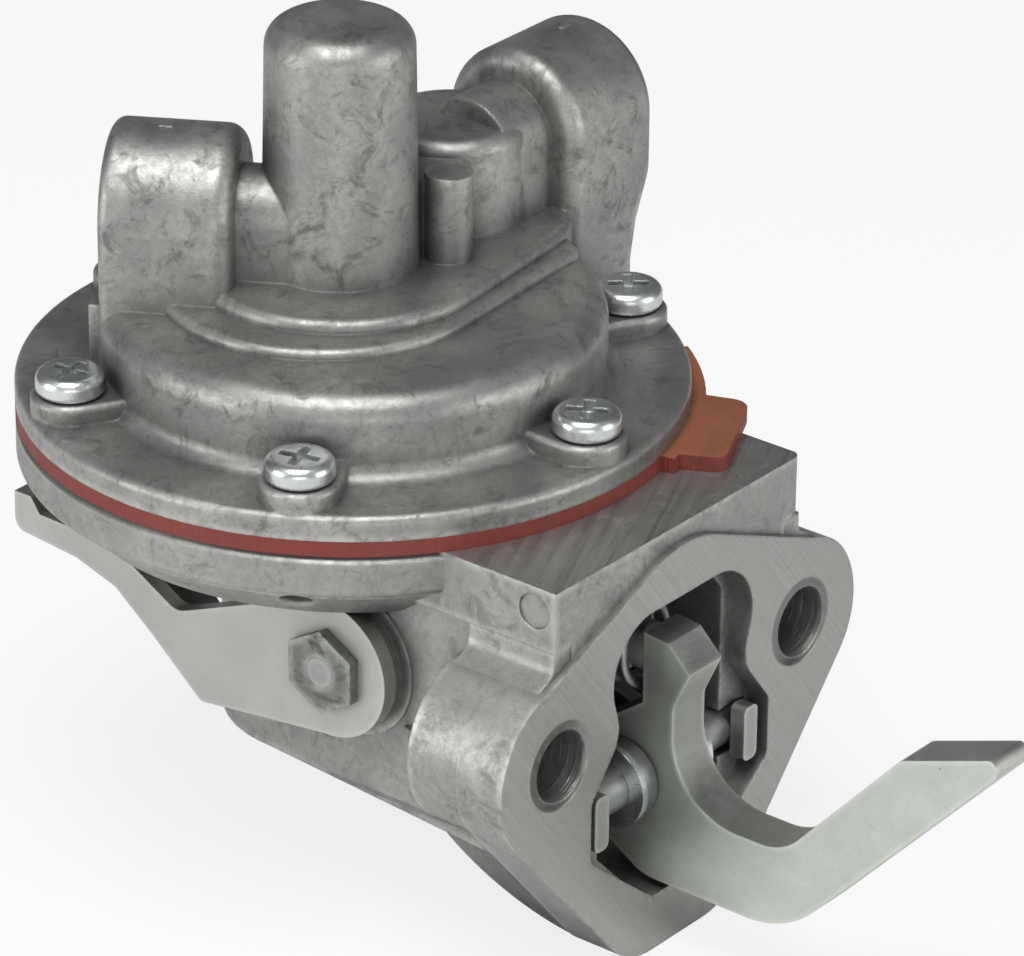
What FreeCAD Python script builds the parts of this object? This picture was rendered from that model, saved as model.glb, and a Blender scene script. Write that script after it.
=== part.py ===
# Mechanical fuel pump with rocker arm and hand priming lever.
# Frame: +Z up along the diaphragm axis, the mounting face lies on Y = 0 and looks to -Y,
# the origin is midway between the two mounting holes. Sizes in millimetres.
import FreeCAD, Part
import math
import os
import Sketcher
from FreeCAD import Placement, Rotation, Vector

os.makedirs("parts", exist_ok=True)
doc = FreeCAD.newDocument("FuelPump")
sheet = doc.addObject("Spreadsheet::Sheet", "Sizes")
sheet_row = 1


class Size:
    """A number together with the sheet formula it comes from."""

    def __init__(self, value, text):
        self.value = float(value)
        self.text = text

    def __add__(self, other):
        other = as_size(other)
        return Size(self.value + other.value, "(%s + %s)" % (self.text, other.text))

    def __radd__(self, other):
        return as_size(other) + self

    def __sub__(self, other):
        other = as_size(other)
        return Size(self.value - other.value, "(%s - %s)" % (self.text, other.text))

    def __rsub__(self, other):
        return as_size(other) - self

    def __mul__(self, other):
        other = as_size(other)
        return Size(self.value * other.value, "(%s * %s)" % (self.text, other.text))

    def __rmul__(self, other):
        return as_size(other) * self

    def __truediv__(self, other):
        other = as_size(other)
        return Size(self.value / other.value, "(%s / %s)" % (self.text, other.text))

    def __neg__(self):
        return Size(-self.value, "(0 - %s)" % self.text)


def as_size(item):
    if isinstance(item, Size):
        return item
    return Size(item, "%.6g" % item)


def size(name, value):
    """Write one driving size to the sheet and hand it back."""
    global sheet_row
    sheet.set("A%d" % sheet_row, name)
    sheet.set("B%d" % sheet_row, "%.6g" % value)
    sheet.setAlias("B%d" % sheet_row, name)
    sheet_row += 1
    return Size(value, "Sizes.%s" % name)


def derived(name, result):
    """Write a size that follows from others to the sheet as a formula."""
    global sheet_row
    sheet.set("A%d" % sheet_row, name)
    sheet.set("B%d" % sheet_row, "=" + result.text.replace("Sizes.", ""))
    sheet.setAlias("B%d" % sheet_row, name)
    sheet_row += 1
    return Size(result.value, "Sizes.%s" % name)


def cosine(degrees):
    return Size(math.cos(math.radians(degrees.value)), "cos(%s)" % degrees.text)


def sine(degrees):
    return Size(math.sin(math.radians(degrees.value)), "sin(%s)" % degrees.text)


def root(square):
    return Size(math.sqrt(square.value), "sqrt(%s)" % square.text)


# General layout
body_reach = size("body_reach", 48.5)
seat_level = size("seat_level", 21.2)
diaphragm_gauge = size("diaphragm_gauge", 1.9)
rim_radius = size("rim_radius", 39.0)
screw_edge = size("screw_edge", 4.9)
screw_circle = rim_radius - screw_edge
screw_start = size("screw_start", 30.0)
fit_gap = size("fit_gap", 0.05)
slide_gap = size("slide_gap", 0.3)
mount_half_pitch = size("mount_half_pitch", 22.225)
mount_bore = size("mount_bore", 4.3)

cover_level = seat_level + diaphragm_gauge
zero = as_size(0)

# Cover
cover_flange = size("cover_flange", 2.9)
cover_drum_radius = size("cover_drum_radius", 29.3)
cover_drum_top = size("cover_drum_top", 35.5)
cover_drum_round = size("cover_drum_round", 3.0)
cover_tier_top = size("cover_tier_top", 38.2)
cover_tier_radius = size("cover_tier_radius", 17.2)
cover_tier_small = size("cover_tier_small", 12.2)
cover_tier_round = size("cover_tier_round", 1.2)
cover_step_top = size("cover_step_top", 36.7)
cover_step_x = size("cover_step_x", -2.0)
cover_step_radius = size("cover_step_radius", 19.2)
cover_step_small = size("cover_step_small", 14.6)
cover_step_limit = size("cover_step_limit", 27.4)
cover_step_round = size("cover_step_round", 0.9)
dome_x = size("dome_x", 1.0)
dome_offset = size("dome_offset", 2.8)
dome_foot_radius = size("dome_foot_radius", 9.1)
dome_head_radius = size("dome_head_radius", 8.6)
dome_top = size("dome_top", 67.9)
dome_round = size("dome_round", 3.0)
cup_x = size("cup_x", 20.7)
cup_offset = size("cup_offset", 2.6)
cup_foot_radius = size("cup_foot_radius", 9.3)
cup_head_radius = size("cup_head_radius", 8.9)
cup_top = size("cup_top", 49.8)
cup_round = size("cup_round", 1.8)
rib_x = size("rib_x", 9.8)
rib_offset = size("rib_offset", -6.0)
rib_radius = size("rib_radius", 2.8)
rib_top = size("rib_top", 48.8)
rib_web_offset = size("rib_web_offset", -4.0)
rib_web_drop = size("rib_web_drop", 0.8)
pad_radius = size("pad_radius", 4.6)
pad_rise = size("pad_rise", 2.3)
pad_root = size("pad_root", 25.3)
pad_round = size("pad_round", 0.6)
port_radius = size("port_radius", 9.8)
port_thread = size("port_thread", 6.6)
port_thread_depth = size("port_thread_depth", 11.0)
port_lead = size("port_lead", 0.8)
port_round = size("port_round", 2.2)
port_lip_round = size("port_lip_round", 1.4)
port_passage = size("port_passage", 2.4)
inlet_level = size("inlet_level", 46.1)
inlet_start = size("inlet_start", 28.2)
inlet_end = size("inlet_end", 43.4)
inlet_slope = [(43.4, 41.0), (42.3, 38.6), (40.2, 33.6), (39.3, 29.0), (39.2, 25.0)]
inlet_slope_sizes = []
for k, (v, w) in enumerate(inlet_slope):
    inlet_slope_sizes.append((size("inlet_slope_x%d" % (k + 1), v), size("inlet_slope_z%d" % (k + 1), w)))
inlet_neck_half = size("inlet_neck_half", 6.2)
inlet_neck_top = size("inlet_neck_top", 52.4)
inlet_passage_level = size("inlet_passage_level", 43.0)
outlet_level = size("outlet_level", 44.8)
outlet_turn = size("outlet_turn", 121.0)
outlet_start = size("outlet_start", 12.8)
outlet_end = size("outlet_end", 28.0)
outlet_neck_radius = size("outlet_neck_radius", 5.4)
outlet_foot_end = size("outlet_foot_end", 29.2)
outlet_foot_half = size("outlet_foot_half", 8.6)
chamber_radius = size("chamber_radius", 26.5)
chamber_top = size("chamber_top", 29.0)
valve_pocket = size("valve_pocket", 8.0)
valve_step_level = size("valve_step_level", 34.4)
air_bore = size("air_bore", 6.3)
dome_bore_top = size("dome_bore_top", 64.4)
cup_bore_top = size("cup_bore_top", 46.8)

# Cover screws
screw_thread = size("screw_thread", 2.0)
screw_clear = size("screw_clear", 0.3)
screw_length = size("screw_length", 12.0)
screw_head_radius = size("screw_head_radius", 4.02)
screw_head_height = size("screw_head_height", 2.75)
screw_head_round = size("screw_head_round", 1.1)
recess_arm = size("recess_arm", 2.4)
recess_width = size("recess_width", 1.15)
recess_depth = size("recess_depth", 1.5)

# Diaphragm, rod and spring
tab_radius = size("tab_radius", 45.2)
tab_angle = size("tab_angle", -63.5)
tab_half_width = size("tab_half_width", 8.6)
lobe_radius = size("lobe_radius", 40.7)
lobe_from = size("lobe_from", -77.0)
lobe_sweep = size("lobe_sweep", 43.0)
rod_radius = size("rod_radius", 2.5)
rod_button_radius = size("rod_button_radius", 4.4)
rod_button_height = size("rod_button_height", 2.0)
rod_head_radius = size("rod_head_radius", 4.2)
rod_head_height = size("rod_head_height", 1.6)
plate_gauge = size("plate_gauge", 1.2)
upper_plate_radius = size("upper_plate_radius", 17.0)
lower_plate_radius = size("lower_plate_radius", 16.5)
spring_wire = size("spring_wire", 0.7)
spring_mean = size("spring_mean", 9.6)
spring_turns = size("spring_turns", 4.0)
seal_cup_gauge = size("seal_cup_gauge", 0.8)
seal_cup_clear = size("seal_cup_clear", 5.0)
seal_cup_lip = size("seal_cup_lip", 1.8)

# Lower body
rim_depth = size("rim_depth", 5.4)
rim_chamfer = size("rim_chamfer", 0.8)
bowl_radius = size("bowl_radius", 22.5)
bowl_floor = size("bowl_floor", 5.6)
cavity_radius = size("cavity_radius", 19.3)
cavity_mouth = size("cavity_mouth", 27.0)
cavity_cone_level = size("cavity_cone_level", 16.6)
cavity_floor = size("cavity_floor", 10.0)
seal_pocket = size("seal_pocket", 7.0)
seal_level = size("seal_level", 7.0)
rod_hole_clear = size("rod_hole_clear", 0.6)
platform_half = size("platform_half", 22.5)
platform_back_step = size("platform_back_step", 0.8)
platform_depth = size("platform_depth", 7.6)
box_front_half = size("box_front_half", 19.6)
box_back_radius = size("box_back_radius", 15.5)
box_floor = size("box_floor", -17.4)
box_roof_inner = size("box_roof_inner", 2.4)
box_wall = size("box_wall", 3.6)
flange_thick = size("flange_thick", 6.5)
face_apex = size("face_apex", 20.2)
face_lobe_x = size("face_lobe_x", 39.4)
face_lobe_z = size("face_lobe_z", 3.7)
face_foot_x = size("face_foot_x", 9.3)
face_foot_z = size("face_foot_z", -31.5)
lobe_round = size("lobe_round", 10.3)
apex_round = size("apex_round", 14.0)
foot_round = size("foot_round", 9.5)
boss_reach = size("boss_reach", 13.5)
nose_radius = size("nose_radius", 19.6)
nose_half = size("nose_half", 16.5)
nose_foot_half = size("nose_foot_half", 9.0)
mouth_depth = size("mouth_depth", 3.2)
mouth_top_x = size("mouth_top_x", 15.2)
mouth_top_z = size("mouth_top_z", 12.6)
mouth_waist_x = size("mouth_waist_x", 11.3)
mouth_waist_z = size("mouth_waist_z", -0.7)
mouth_slot_x = size("mouth_slot_x", 16.5)
mouth_slot_top = size("mouth_slot_top", -7.4)
mouth_slot_foot = size("mouth_slot_foot", -15.0)
mouth_foot_x = size("mouth_foot_x", 5.0)
mouth_foot_z = size("mouth_foot_z", -24.4)
mouth_round = size("mouth_round", 7.0)
inner_half = size("inner_half", 11.2)
inner_top = size("inner_top", 10.8)
inner_back = size("inner_back", 16.0)
vent_radius = size("vent_radius", 2.0)
vent_turn = size("vent_turn", -156.3)
vent_level = size("vent_level", 9.4)
vent_root = size("vent_root", 17.5)
gusset_points = [(12.5, -3.4), (24.3, -4.6), (12.5, -9.6)]
gusset_sizes = []
for k, (v, w) in enumerate(gusset_points):
    gusset_sizes.append((size("gusset_y%d" % (k + 1), v), size("gusset_z%d" % (k + 1), w)))
gusset_out = size("gusset_out", 1.6)
gusset_in = size("gusset_in", 3.2)
ejector_radius = size("ejector_radius", 2.15)
ejector_y = size("ejector_y", 3.8)
ejector_z = size("ejector_z", 18.2)
ejector_depth = size("ejector_depth", 0.25)

# Rocker arm and its pin
pin_y = size("pin_y", 5.5)
pin_z = size("pin_z", -11.2)
pin_radius = size("pin_radius", 3.0)
pin_half = size("pin_half", 15.9)
arm_half = size("arm_half", 3.0)
washer_radius = size("washer_radius", 5.2)
washer_gauge = size("washer_gauge", 0.8)
retainer_width = size("retainer_width", 2.5)
retainer_from_end = size("retainer_from_end", 0.8)
retainer_round = size("retainer_round", 0.9)
retainer_height = size("retainer_height", 7.0)
retainer_inset = size("retainer_inset", 0.5)
rocker_spring_mean = size("rocker_spring_mean", 4.6)
rocker_spring_wire = size("rocker_spring_wire", 0.6)
rocker_spring_level = size("rocker_spring_level", 4.4)
rocker_spring_turns = size("rocker_spring_turns", 5.0)

arm_points = [
    (-3.1, 4.4), (0.0, 7.4), (3.4, 7.8), (3.4, -1.2), (7.6, -4.3), (12.4, -7.6), (13.6, -11.5), (12.4, -15.6),
    (8.4, -20.0), (3.0, -23.4), (-17.3, -23.6), (-45.8, 7.2), (-43.9, 8.1), (-32.1, 3.9), (-16.6, -13.4),
    (-0.8, -13.4), (-0.8, -0.6)]
arm_sizes = []
for k, (v, w) in enumerate(arm_points):
    arm_sizes.append((size("arm_y%d" % (k + 1), v), size("arm_z%d" % (k + 1), w)))
arm_hollow_round = size("arm_hollow_round", 9.2)
arm_elbow_round = size("arm_elbow_round", 7.0)
arm_belly_round = size("arm_belly_round", 13.0)

# Link lever
link_half = size("link_half", 5.4)
link_hub = size("link_hub", 4.8)
link_cheek_gap = size("link_cheek_gap", 0.4)
link_tip_past = size("link_tip_past", 5.0)
link_tip_y = body_reach + link_tip_past
link_tip_level = size("link_tip_level", 0.4)
link_tip_depth = size("link_tip_depth", 2.6)
link_back_level = size("link_back_level", -1.5)
link_back_depth = size("link_back_depth", 3.4)

# Priming lever
primer_offset = size("primer_offset", 17.5)
primer_y = body_reach - primer_offset
primer_z = size("primer_z", 2.9)
primer_shaft_radius = size("primer_shaft_radius", 4.0)
primer_boss_radius = size("primer_boss_radius", 9.4)
primer_boss_small = size("primer_boss_small", 7.9)
primer_boss_step = size("primer_boss_step", 1.2)
lever_half = size("lever_half", 25.5)
lever_gauge = size("lever_gauge", 2.0)
lever_eye = size("lever_eye", 8.4)
lever_side_gap = size("lever_side_gap", 0.3)
lever_square = size("lever_square", 2.7)
lever_window = size("lever_window", 15.9)
lever_plate_depth = size("lever_plate_depth", 3.5)
lever_room_before = size("lever_room_before", 21.0)
lever_gap_before = size("lever_gap_before", 11.0)
# outline of the lever's side, from the shaft to the finger plate, in Y past the diaphragm axis
lever_outline = [
    (-7.8, 7.9), (5.1, 2.5), (12.5, 6.6), (18.0, 8.0), (26.1, 8.1), (27.5, 10.0)]
lever_under = [
    (20.5, 4.4), (14.5, 2.6), (9.0, -1.6), (1.5, -7.9)]
lever_end_past = size("lever_end_past", 30.0)
lever_end_y = body_reach + lever_end_past
lever_sizes = [(primer_y, size("lever_z1", 11.3))]
for k, (v, w) in enumerate(lever_outline):
    lever_sizes.append((body_reach + size("lever_past%d" % (k + 2), v), size("lever_z%d" % (k + 2), w)))
lever_sizes.append((lever_end_y, lever_sizes[-1][1]))
lever_sizes.append((lever_end_y, size("lever_z9", 5.2)))
for k, (v, w) in enumerate(lever_under):
    lever_sizes.append((body_reach + size("lever_past%d" % (k + 10), v), size("lever_z%d" % (k + 10), w)))
lever_sizes.append((primer_y, size("lever_z14", -5.5)))
collar_radius = size("collar_radius", 5.2)
collar_height = size("collar_height", 1.4)
shaft_end_radius = size("shaft_end_radius", 1.75)
cam_flat = size("cam_flat", 2.0)
cam_half = size("cam_half", 6.0)
primer_spring_mean = size("primer_spring_mean", 4.7)
primer_spring_wire = size("primer_spring_wire", 0.4)
primer_spring_turns = size("primer_spring_turns", 3.0)
primer_room_half = size("primer_room_half", 9.7)
primer_room_reach = size("primer_room_reach", 5.4)
primer_room_top = size("primer_room_top", 8.3)

# Valves
seat_disc_gauge = size("seat_disc_gauge", 1.8)
valve_gasket_gauge = size("valve_gasket_gauge", 0.6)
valve_disc_radius = size("valve_disc_radius", 5.2)
valve_disc_gauge = size("valve_disc_gauge", 0.8)
valve_stem = size("valve_stem", 0.9)
valve_cap_radius = size("valve_cap_radius", 2.6)
valve_cap_gauge = size("valve_cap_gauge", 0.6)
valve_spring_height = size("valve_spring_height", 3.6)
valve_spring_mean = size("valve_spring_mean", 2.0)
valve_spring_wire = size("valve_spring_wire", 0.25)
valve_spring_turns = size("valve_spring_turns", 4.0)
valve_port = size("valve_port", 1.1)
valve_port_circle = size("valve_port_circle", 3.3)

# Levels and places that follow from the sizes
flange_top = cover_level + cover_flange
pad_top = flange_top + pad_rise
dome_y = body_reach + dome_offset
cup_y = body_reach + cup_offset
screw_angles = [screw_start + 60 * k for k in range(6)]
screw_spots = [(screw_circle * cosine(a), body_reach + screw_circle * sine(a), a) for a in screw_angles]
rim_foot = seat_level - rim_depth
boss_face = lever_half - lever_gauge - lever_side_gap
arm_back = arm_sizes[2][0]
link_foot = link_tip_level - link_tip_depth
rod_end_level = link_foot - slide_gap - rod_button_height
spring_low = cavity_floor + seal_cup_gauge
seal_cup_radius = cavity_radius - seal_cup_clear
seal_cup_top = cavity_floor + seal_cup_lip
diaphragm_spring_length = derived("diaphragm_spring_length", seat_level - plate_gauge - spring_low)
rocker_spring_length = derived("rocker_spring_length", inner_back - arm_back)
primer_spring_start = cam_half + 0.3
primer_spring_length = derived("primer_spring_length", primer_room_half - primer_spring_start - 0.2)

doc.recompute()

UP = Rotation()
ALONG_X = Rotation(Vector(0, 1, 0), 90)
ALONG_Y = Rotation(Vector(1, 0, 0), -90)
PLANES = {"XY": "XY_Plane", "XZ": "XZ_Plane", "YZ": "YZ_Plane"}


def place(item, x, y, z, rotation=UP):
    """Put an object at sheet driven coordinates."""
    x = as_size(x)
    y = as_size(y)
    z = as_size(z)
    item.Placement = Placement(Vector(x.value, y.value, z.value), rotation)
    item.setExpression("Placement.Base.x", x.text)
    item.setExpression("Placement.Base.y", y.text)
    item.setExpression("Placement.Base.z", z.text)
    return item


def rod(name, radius, length, x, y, z, rotation=UP):
    item = doc.addObject("Part::Cylinder", name)
    item.setExpression("Radius", as_size(radius).text)
    item.setExpression("Height", as_size(length).text)
    return place(item, x, y, z, rotation)


def taper(name, foot, head, length, x, y, z, rotation=UP):
    item = doc.addObject("Part::Cone", name)
    item.setExpression("Radius1", as_size(foot).text)
    item.setExpression("Radius2", as_size(head).text)
    item.setExpression("Height", as_size(length).text)
    return place(item, x, y, z, rotation)


def block(name, x_size, y_size, z_size, x, y, z, rotation=UP):
    item = doc.addObject("Part::Box", name)
    item.setExpression("Length", as_size(x_size).text)
    item.setExpression("Width", as_size(y_size).text)
    item.setExpression("Height", as_size(z_size).text)
    return place(item, x, y, z, rotation)


def join(name, items, merge_faces=True):
    item = doc.addObject("Part::MultiFuse", name)
    item.Shapes = items
    item.Refine = merge_faces
    return item


def overlap(name, first, second):
    item = doc.addObject("Part::Common", name)
    item.Base = first
    item.Tool = second
    return item


def cut(name, base, tools):
    item = doc.addObject("Part::Cut", name)
    item.Base = base
    item.Tool = tools[0] if len(tools) == 1 else join(name + "Tools", tools, False)
    return item


def origin_plane(body, role):
    for feature in body.Origin.OriginFeatures:
        if feature.Role == role:
            return feature
    raise ValueError(role)


def outline(body, name, plane, points, level=None):
    """A closed sketch of straight lines; every corner is set from the sheet."""
    sketch = body.newObject("Sketcher::SketchObject", name)
    sketch.AttachmentSupport = [(origin_plane(body, PLANES[plane]), "")]
    sketch.MapMode = "FlatFace"
    if level is not None:
        sketch.AttachmentOffset = Placement(Vector(0, 0, level.value), Rotation())
        sketch.setExpression("AttachmentOffset.Base.z", level.text)
    points = [(as_size(u), as_size(v)) for u, v in points]
    count = len(points)
    for k in range(count):
        u0, v0 = points[k]
        u1, v1 = points[(k + 1) % count]
        line = Part.LineSegment(Vector(u0.value, v0.value, 0), Vector(u1.value, v1.value, 0))
        sketch.addGeometry(line, False)
    for k in range(count):
        sketch.addConstraint(Sketcher.Constraint("Coincident", k, 2, (k + 1) % count, 1))
    for k in range(count):
        for value, kind, axis in ((points[k][0], "DistanceX", -2), (points[k][1], "DistanceY", -1)):
            if value.value == 0:
                sketch.addConstraint(Sketcher.Constraint("PointOnObject", k, 1, axis))
            else:
                mark = sketch.addConstraint(Sketcher.Constraint(kind, -1, 1, k, 1, value.value))
                sketch.setExpression("Constraints[%d]" % mark, value.text)
    return sketch


def slab(name, plane, points, start, end):
    """A prism from a straight-sided outline, between two levels along the plane's normal."""
    body = doc.addObject("PartDesign::Body", name)
    # the normal of the XZ plane looks to -Y, so levels along Y change sign there
    if plane == "XZ":
        low = -as_size(end)
        high = -as_size(start)
    else:
        low = as_size(start)
        high = as_size(end)
    sketch = outline(body, name + "Sketch", plane, points, low)
    pad = body.newObject("PartDesign::Pad", name + "Pad")
    pad.Profile = sketch
    pad.setExpression("Length", (high - low).text)
    doc.recompute()
    return body


def turned(name, points, x, y, z=0, rotation=UP):
    """A solid of revolution about its own Z from (radius, height) corners."""
    body = doc.addObject("PartDesign::Body", name)
    sketch = outline(body, name + "Sketch", "XZ", points)
    spin = body.newObject("PartDesign::Revolution", name + "Spin")
    spin.Profile = sketch
    spin.ReferenceAxis = (sketch, ["V_Axis"])
    spin.Angle = 360.0
    place(body, x, y, z, rotation)
    doc.recompute()
    return body


def round_off(body, name, radius, chosen):
    """Round the edges of a body's tip whose middle passes the test."""
    radius = as_size(radius)
    tip = body.Tip
    names = []
    for k, edge in enumerate(tip.Shape.Edges):
        if chosen(edge):
            names.append("Edge%d" % (k + 1))
    if not names:
        raise ValueError("no edge to round on %s" % name)
    fillet = body.newObject("PartDesign::Fillet", name)
    fillet.Base = (tip, names)
    fillet.Radius = radius.value
    fillet.setExpression("Radius", radius.text)
    doc.recompute()
    if "Invalid" in fillet.State or fillet.Shape.isNull():
        raise ValueError("rounding failed on %s" % name)
    return body


def bevel(body, name, width, chosen):
    tip = body.Tip
    width = as_size(width)
    names = []
    for k, edge in enumerate(tip.Shape.Edges):
        if chosen(edge):
            names.append("Edge%d" % (k + 1))
    if not names:
        raise ValueError("no edge to bevel on %s" % name)
    item = body.newObject("PartDesign::Chamfer", name)
    item.Base = (tip, names)
    item.Size = width.value
    item.setExpression("Size", width.text)
    doc.recompute()
    return body


def corner(plane, u, v, reach=0.05):
    """Test for the straight edges that rise from one outline corner."""
    u = as_size(u).value
    v = as_size(v).value
    spots = {"XY": (0, 1), "XZ": (0, 2), "YZ": (1, 2)}[plane]

    def chosen(edge):
        if len(edge.Vertexes) < 2:
            return False
        for vertex in edge.Vertexes:
            place_ = (vertex.Point.x, vertex.Point.y, vertex.Point.z)
            if abs(place_[spots[0]] - u) > reach or abs(place_[spots[1]] - v) > reach:
                return False
        return True

    return chosen


def ring_edge(radius, height, reach=0.02):
    """Test for a circular edge of a turned body in its own frame."""
    radius = as_size(radius).value
    height = as_size(height).value

    def chosen(edge):
        curve = edge.Curve
        if not hasattr(curve, "Radius"):
            return False
        return abs(curve.Radius - radius) < reach and abs(edge.CenterOfMass.z - height) < reach

    return chosen


def end_loop(x, above):
    """Test for the edges round a prism's end that lies square to X, its foot left out."""
    x = as_size(x).value
    above = as_size(above).value

    def chosen(edge):
        if edge.CenterOfMass.z < above:
            return False
        return all(abs(vertex.Point.x - x) < 0.02 for vertex in edge.Vertexes)

    return chosen


def arched(name, mid, half, top, foot, start, end):
    """A prism along X with straight sides and a half round back, standing on a foot level."""
    body = slab(name, "YZ", [(mid - half, foot), (mid + half, foot), (mid + half, top), (mid - half, top)],
                start, end)
    return round_off(body, name + "Arch", half - 0.05,
                     lambda edge: corner("YZ", mid - half, top)(edge) or corner("YZ", mid + half, top)(edge))


def rounded_step(name, x1, y1, radius1, x2, y2, radius2, foot, top, round_radius):
    """Two discs and the straight flanks that touch both, with the upper edge rounded."""
    run_x = x2 - x1
    run_y = y2 - y1
    run = root(run_x * run_x + run_y * run_y)
    ux = run_x / run
    uy = run_y / run
    lean = (radius1 - radius2) / run
    rise = root(1 - lean * lean)
    points = []
    for side, ends in ((-1, (1, 2)), (1, (2, 1))):
        mx = ux * lean - uy * rise * side
        my = uy * lean + ux * rise * side
        for end in ends:
            if end == 1:
                points.append((x1 + radius1 * mx, y1 + radius1 * my))
            else:
                points.append((x2 + radius2 * mx, y2 + radius2 * my))
    blank = join(name + "Blank", [
        rod(name + "First", radius1, top - foot, x1, y1, foot),
        rod(name + "Second", radius2, top - foot, x2, y2, foot),
        slab(name + "Flanks", "XY", points, foot, top)])
    doc.recompute()
    item = doc.addObject("Part::Fillet", name)
    item.Base = blank
    rim = []
    for k, edge in enumerate(blank.Shape.Edges):
        if all(abs(vertex.Point.z - top.value) < 0.001 for vertex in edge.Vertexes):
            rim.append((k + 1, reading(round_radius), reading(round_radius)))
    item.Edges = rim
    return item


def mirrored(points):
    """Right-hand half outline from top to foot, completed by its mirror image."""
    right = [(as_size(u), as_size(v)) for u, v in points]
    left = [(-u, v) for u, v in reversed(right) if u.value != 0]
    return right + left


def reading(item):
    """The present value of a named size in the sheet."""
    return float(sheet.get(item.text.replace("Sizes.", "")))


def coil(name, wire, mean, length, turns, x, y, z, rotation=UP):
    """A round wire spring along its own Z, read from the sheet; wire is the wire's radius."""
    wire_radius = reading(wire)
    coil_radius = reading(mean)
    rise = reading(length) - 2 * wire_radius
    pitch = rise / reading(turns)
    path = Part.makeHelix(pitch, rise, coil_radius)
    path.translate(Vector(0, 0, wire_radius))
    start = Vector(coil_radius, 0, wire_radius)
    slope = Vector(0, 2 * math.pi * coil_radius, pitch)
    if wire_radius > 0.5:
        ring = Part.Wire([Part.makeCircle(wire_radius, start, slope)])
    else:
        # thin wire gets a section of twelve flats
        across = slope.cross(Vector(1, 0, 0)).normalize()
        corners = []
        for k in range(13):
            angle = math.radians(30 * (k % 12))
            corners.append(start + Vector(wire_radius * math.cos(angle), 0, 0) +
                           across * (wire_radius * math.sin(angle)))
        ring = Part.makePolygon(corners)
    item = doc.addObject("Part::Feature", name)
    item.Shape = Part.Wire(path.Edges).makePipeShell([ring], True, True)
    return place(item, x, y, z, rotation)


nodes = []


def finish(item, label):
    item.Label = label
    nodes.append(item)
    return item


# Cover
cover_base = turned("CoverBase", [(0, cover_level), (rim_radius, cover_level), (rim_radius, flange_top),
                                  (cover_drum_radius, flange_top), (cover_drum_radius, cover_drum_top),
                                  (0, cover_drum_top)], zero, body_reach)
round_off(cover_base, "CoverRimRound", 0.9, ring_edge(rim_radius, flange_top))
round_off(cover_base, "CoverDrumRound", cover_drum_round, ring_edge(cover_drum_radius, cover_drum_top))
round_off(cover_base, "CoverDrumFoot", 1.8, ring_edge(cover_drum_radius, flange_top))

tier = rounded_step("Tier", dome_x, dome_y, cover_tier_radius, cup_x, body_reach, cover_tier_small,
                    flange_top, cover_tier_top, cover_tier_round)
step_whole = rounded_step("Step", cover_step_x, dome_y, cover_step_radius, cup_x, body_reach,
                          cover_step_small, flange_top, cover_step_top, cover_step_round)
step = overlap("StepInDrum", step_whole,
               rod("StepLimit", cover_step_limit, cover_step_top, zero, body_reach, zero))

dome_skin = turned("DomeSkin", [(0, flange_top), (dome_foot_radius, flange_top),
                                (dome_foot_radius, cover_tier_top), (dome_head_radius, dome_top),
                                (0, dome_top)], dome_x, dome_y)
round_off(dome_skin, "DomeRound", dome_round, ring_edge(dome_head_radius, dome_top))
cup_skin = turned("CupSkin", [(0, flange_top), (cup_foot_radius, flange_top),
                              (cup_foot_radius, cover_tier_top), (cup_head_radius, cup_top),
                              (0, cup_top)], cup_x, cup_y)
round_off(cup_skin, "CupRound", cup_round, ring_edge(cup_head_radius, cup_top))
rib_post = rod("RibPost", rib_radius, rib_top - flange_top, rib_x, body_reach + rib_offset, flange_top)
rib_web = block("RibWeb", cup_x - dome_x, cup_foot_radius + cup_offset - rib_web_offset - 4,
                rib_top - rib_web_drop - flange_top, dome_x, body_reach + rib_web_offset, flange_top)

# screw pads: a round nose on a straight arm that runs into the drum
pads = []
for k, (sx, sy, turn) in enumerate(screw_spots):
    nose_end = screw_circle + pad_radius
    pad = slab("Pad%d" % k, "XY", [(pad_root, -pad_radius), (nose_end, -pad_radius), (nose_end, pad_radius),
                                   (pad_root, pad_radius)], flange_top - 1, pad_top)
    round_off(pad, "PadNose%d" % k, pad_radius - 0.05,
              lambda edge: corner("XY", screw_circle + pad_radius, -pad_radius)(edge) or
              corner("XY", screw_circle + pad_radius, pad_radius)(edge))
    round_off(pad, "PadEdge%d" % k, pad_round,
              lambda edge: edge.CenterOfMass.z > pad_top.value - 0.01 and
              edge.CenterOfMass.x > pad_root.value + 0.1)
    pads.append(place(pad, zero, body_reach, zero, Rotation(Vector(0, 0, 1), turn.value)))
pad_all = join("Pads", pads)

# inlet port boss, straight along +X
inlet_axis_y = body_reach
port_foot = flange_top - 1
inlet_boss = arched("InletBoss", inlet_axis_y, port_radius, inlet_level + port_radius, port_foot, inlet_start,
                    inlet_end)
round_off(inlet_boss, "InletInnerRound", port_round, end_loop(inlet_start, port_foot + 1))
round_off(inlet_boss, "InletOuterRound", port_lip_round, end_loop(inlet_end, port_foot + 1))
inlet_trim = slab("InletTrim", "XZ", inlet_slope_sizes + [
    (inlet_end + 5, inlet_slope_sizes[-1][1]), (inlet_end + 5, inlet_slope_sizes[0][1])],
    inlet_axis_y - port_radius - 1, inlet_axis_y + port_radius + 1)
inlet_shape = cut("InletShape", inlet_boss, [inlet_trim])
inlet_neck = arched("InletNeck", inlet_axis_y, inlet_neck_half, inlet_neck_top, flange_top, cup_x,
                    inlet_start + 3)

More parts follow.
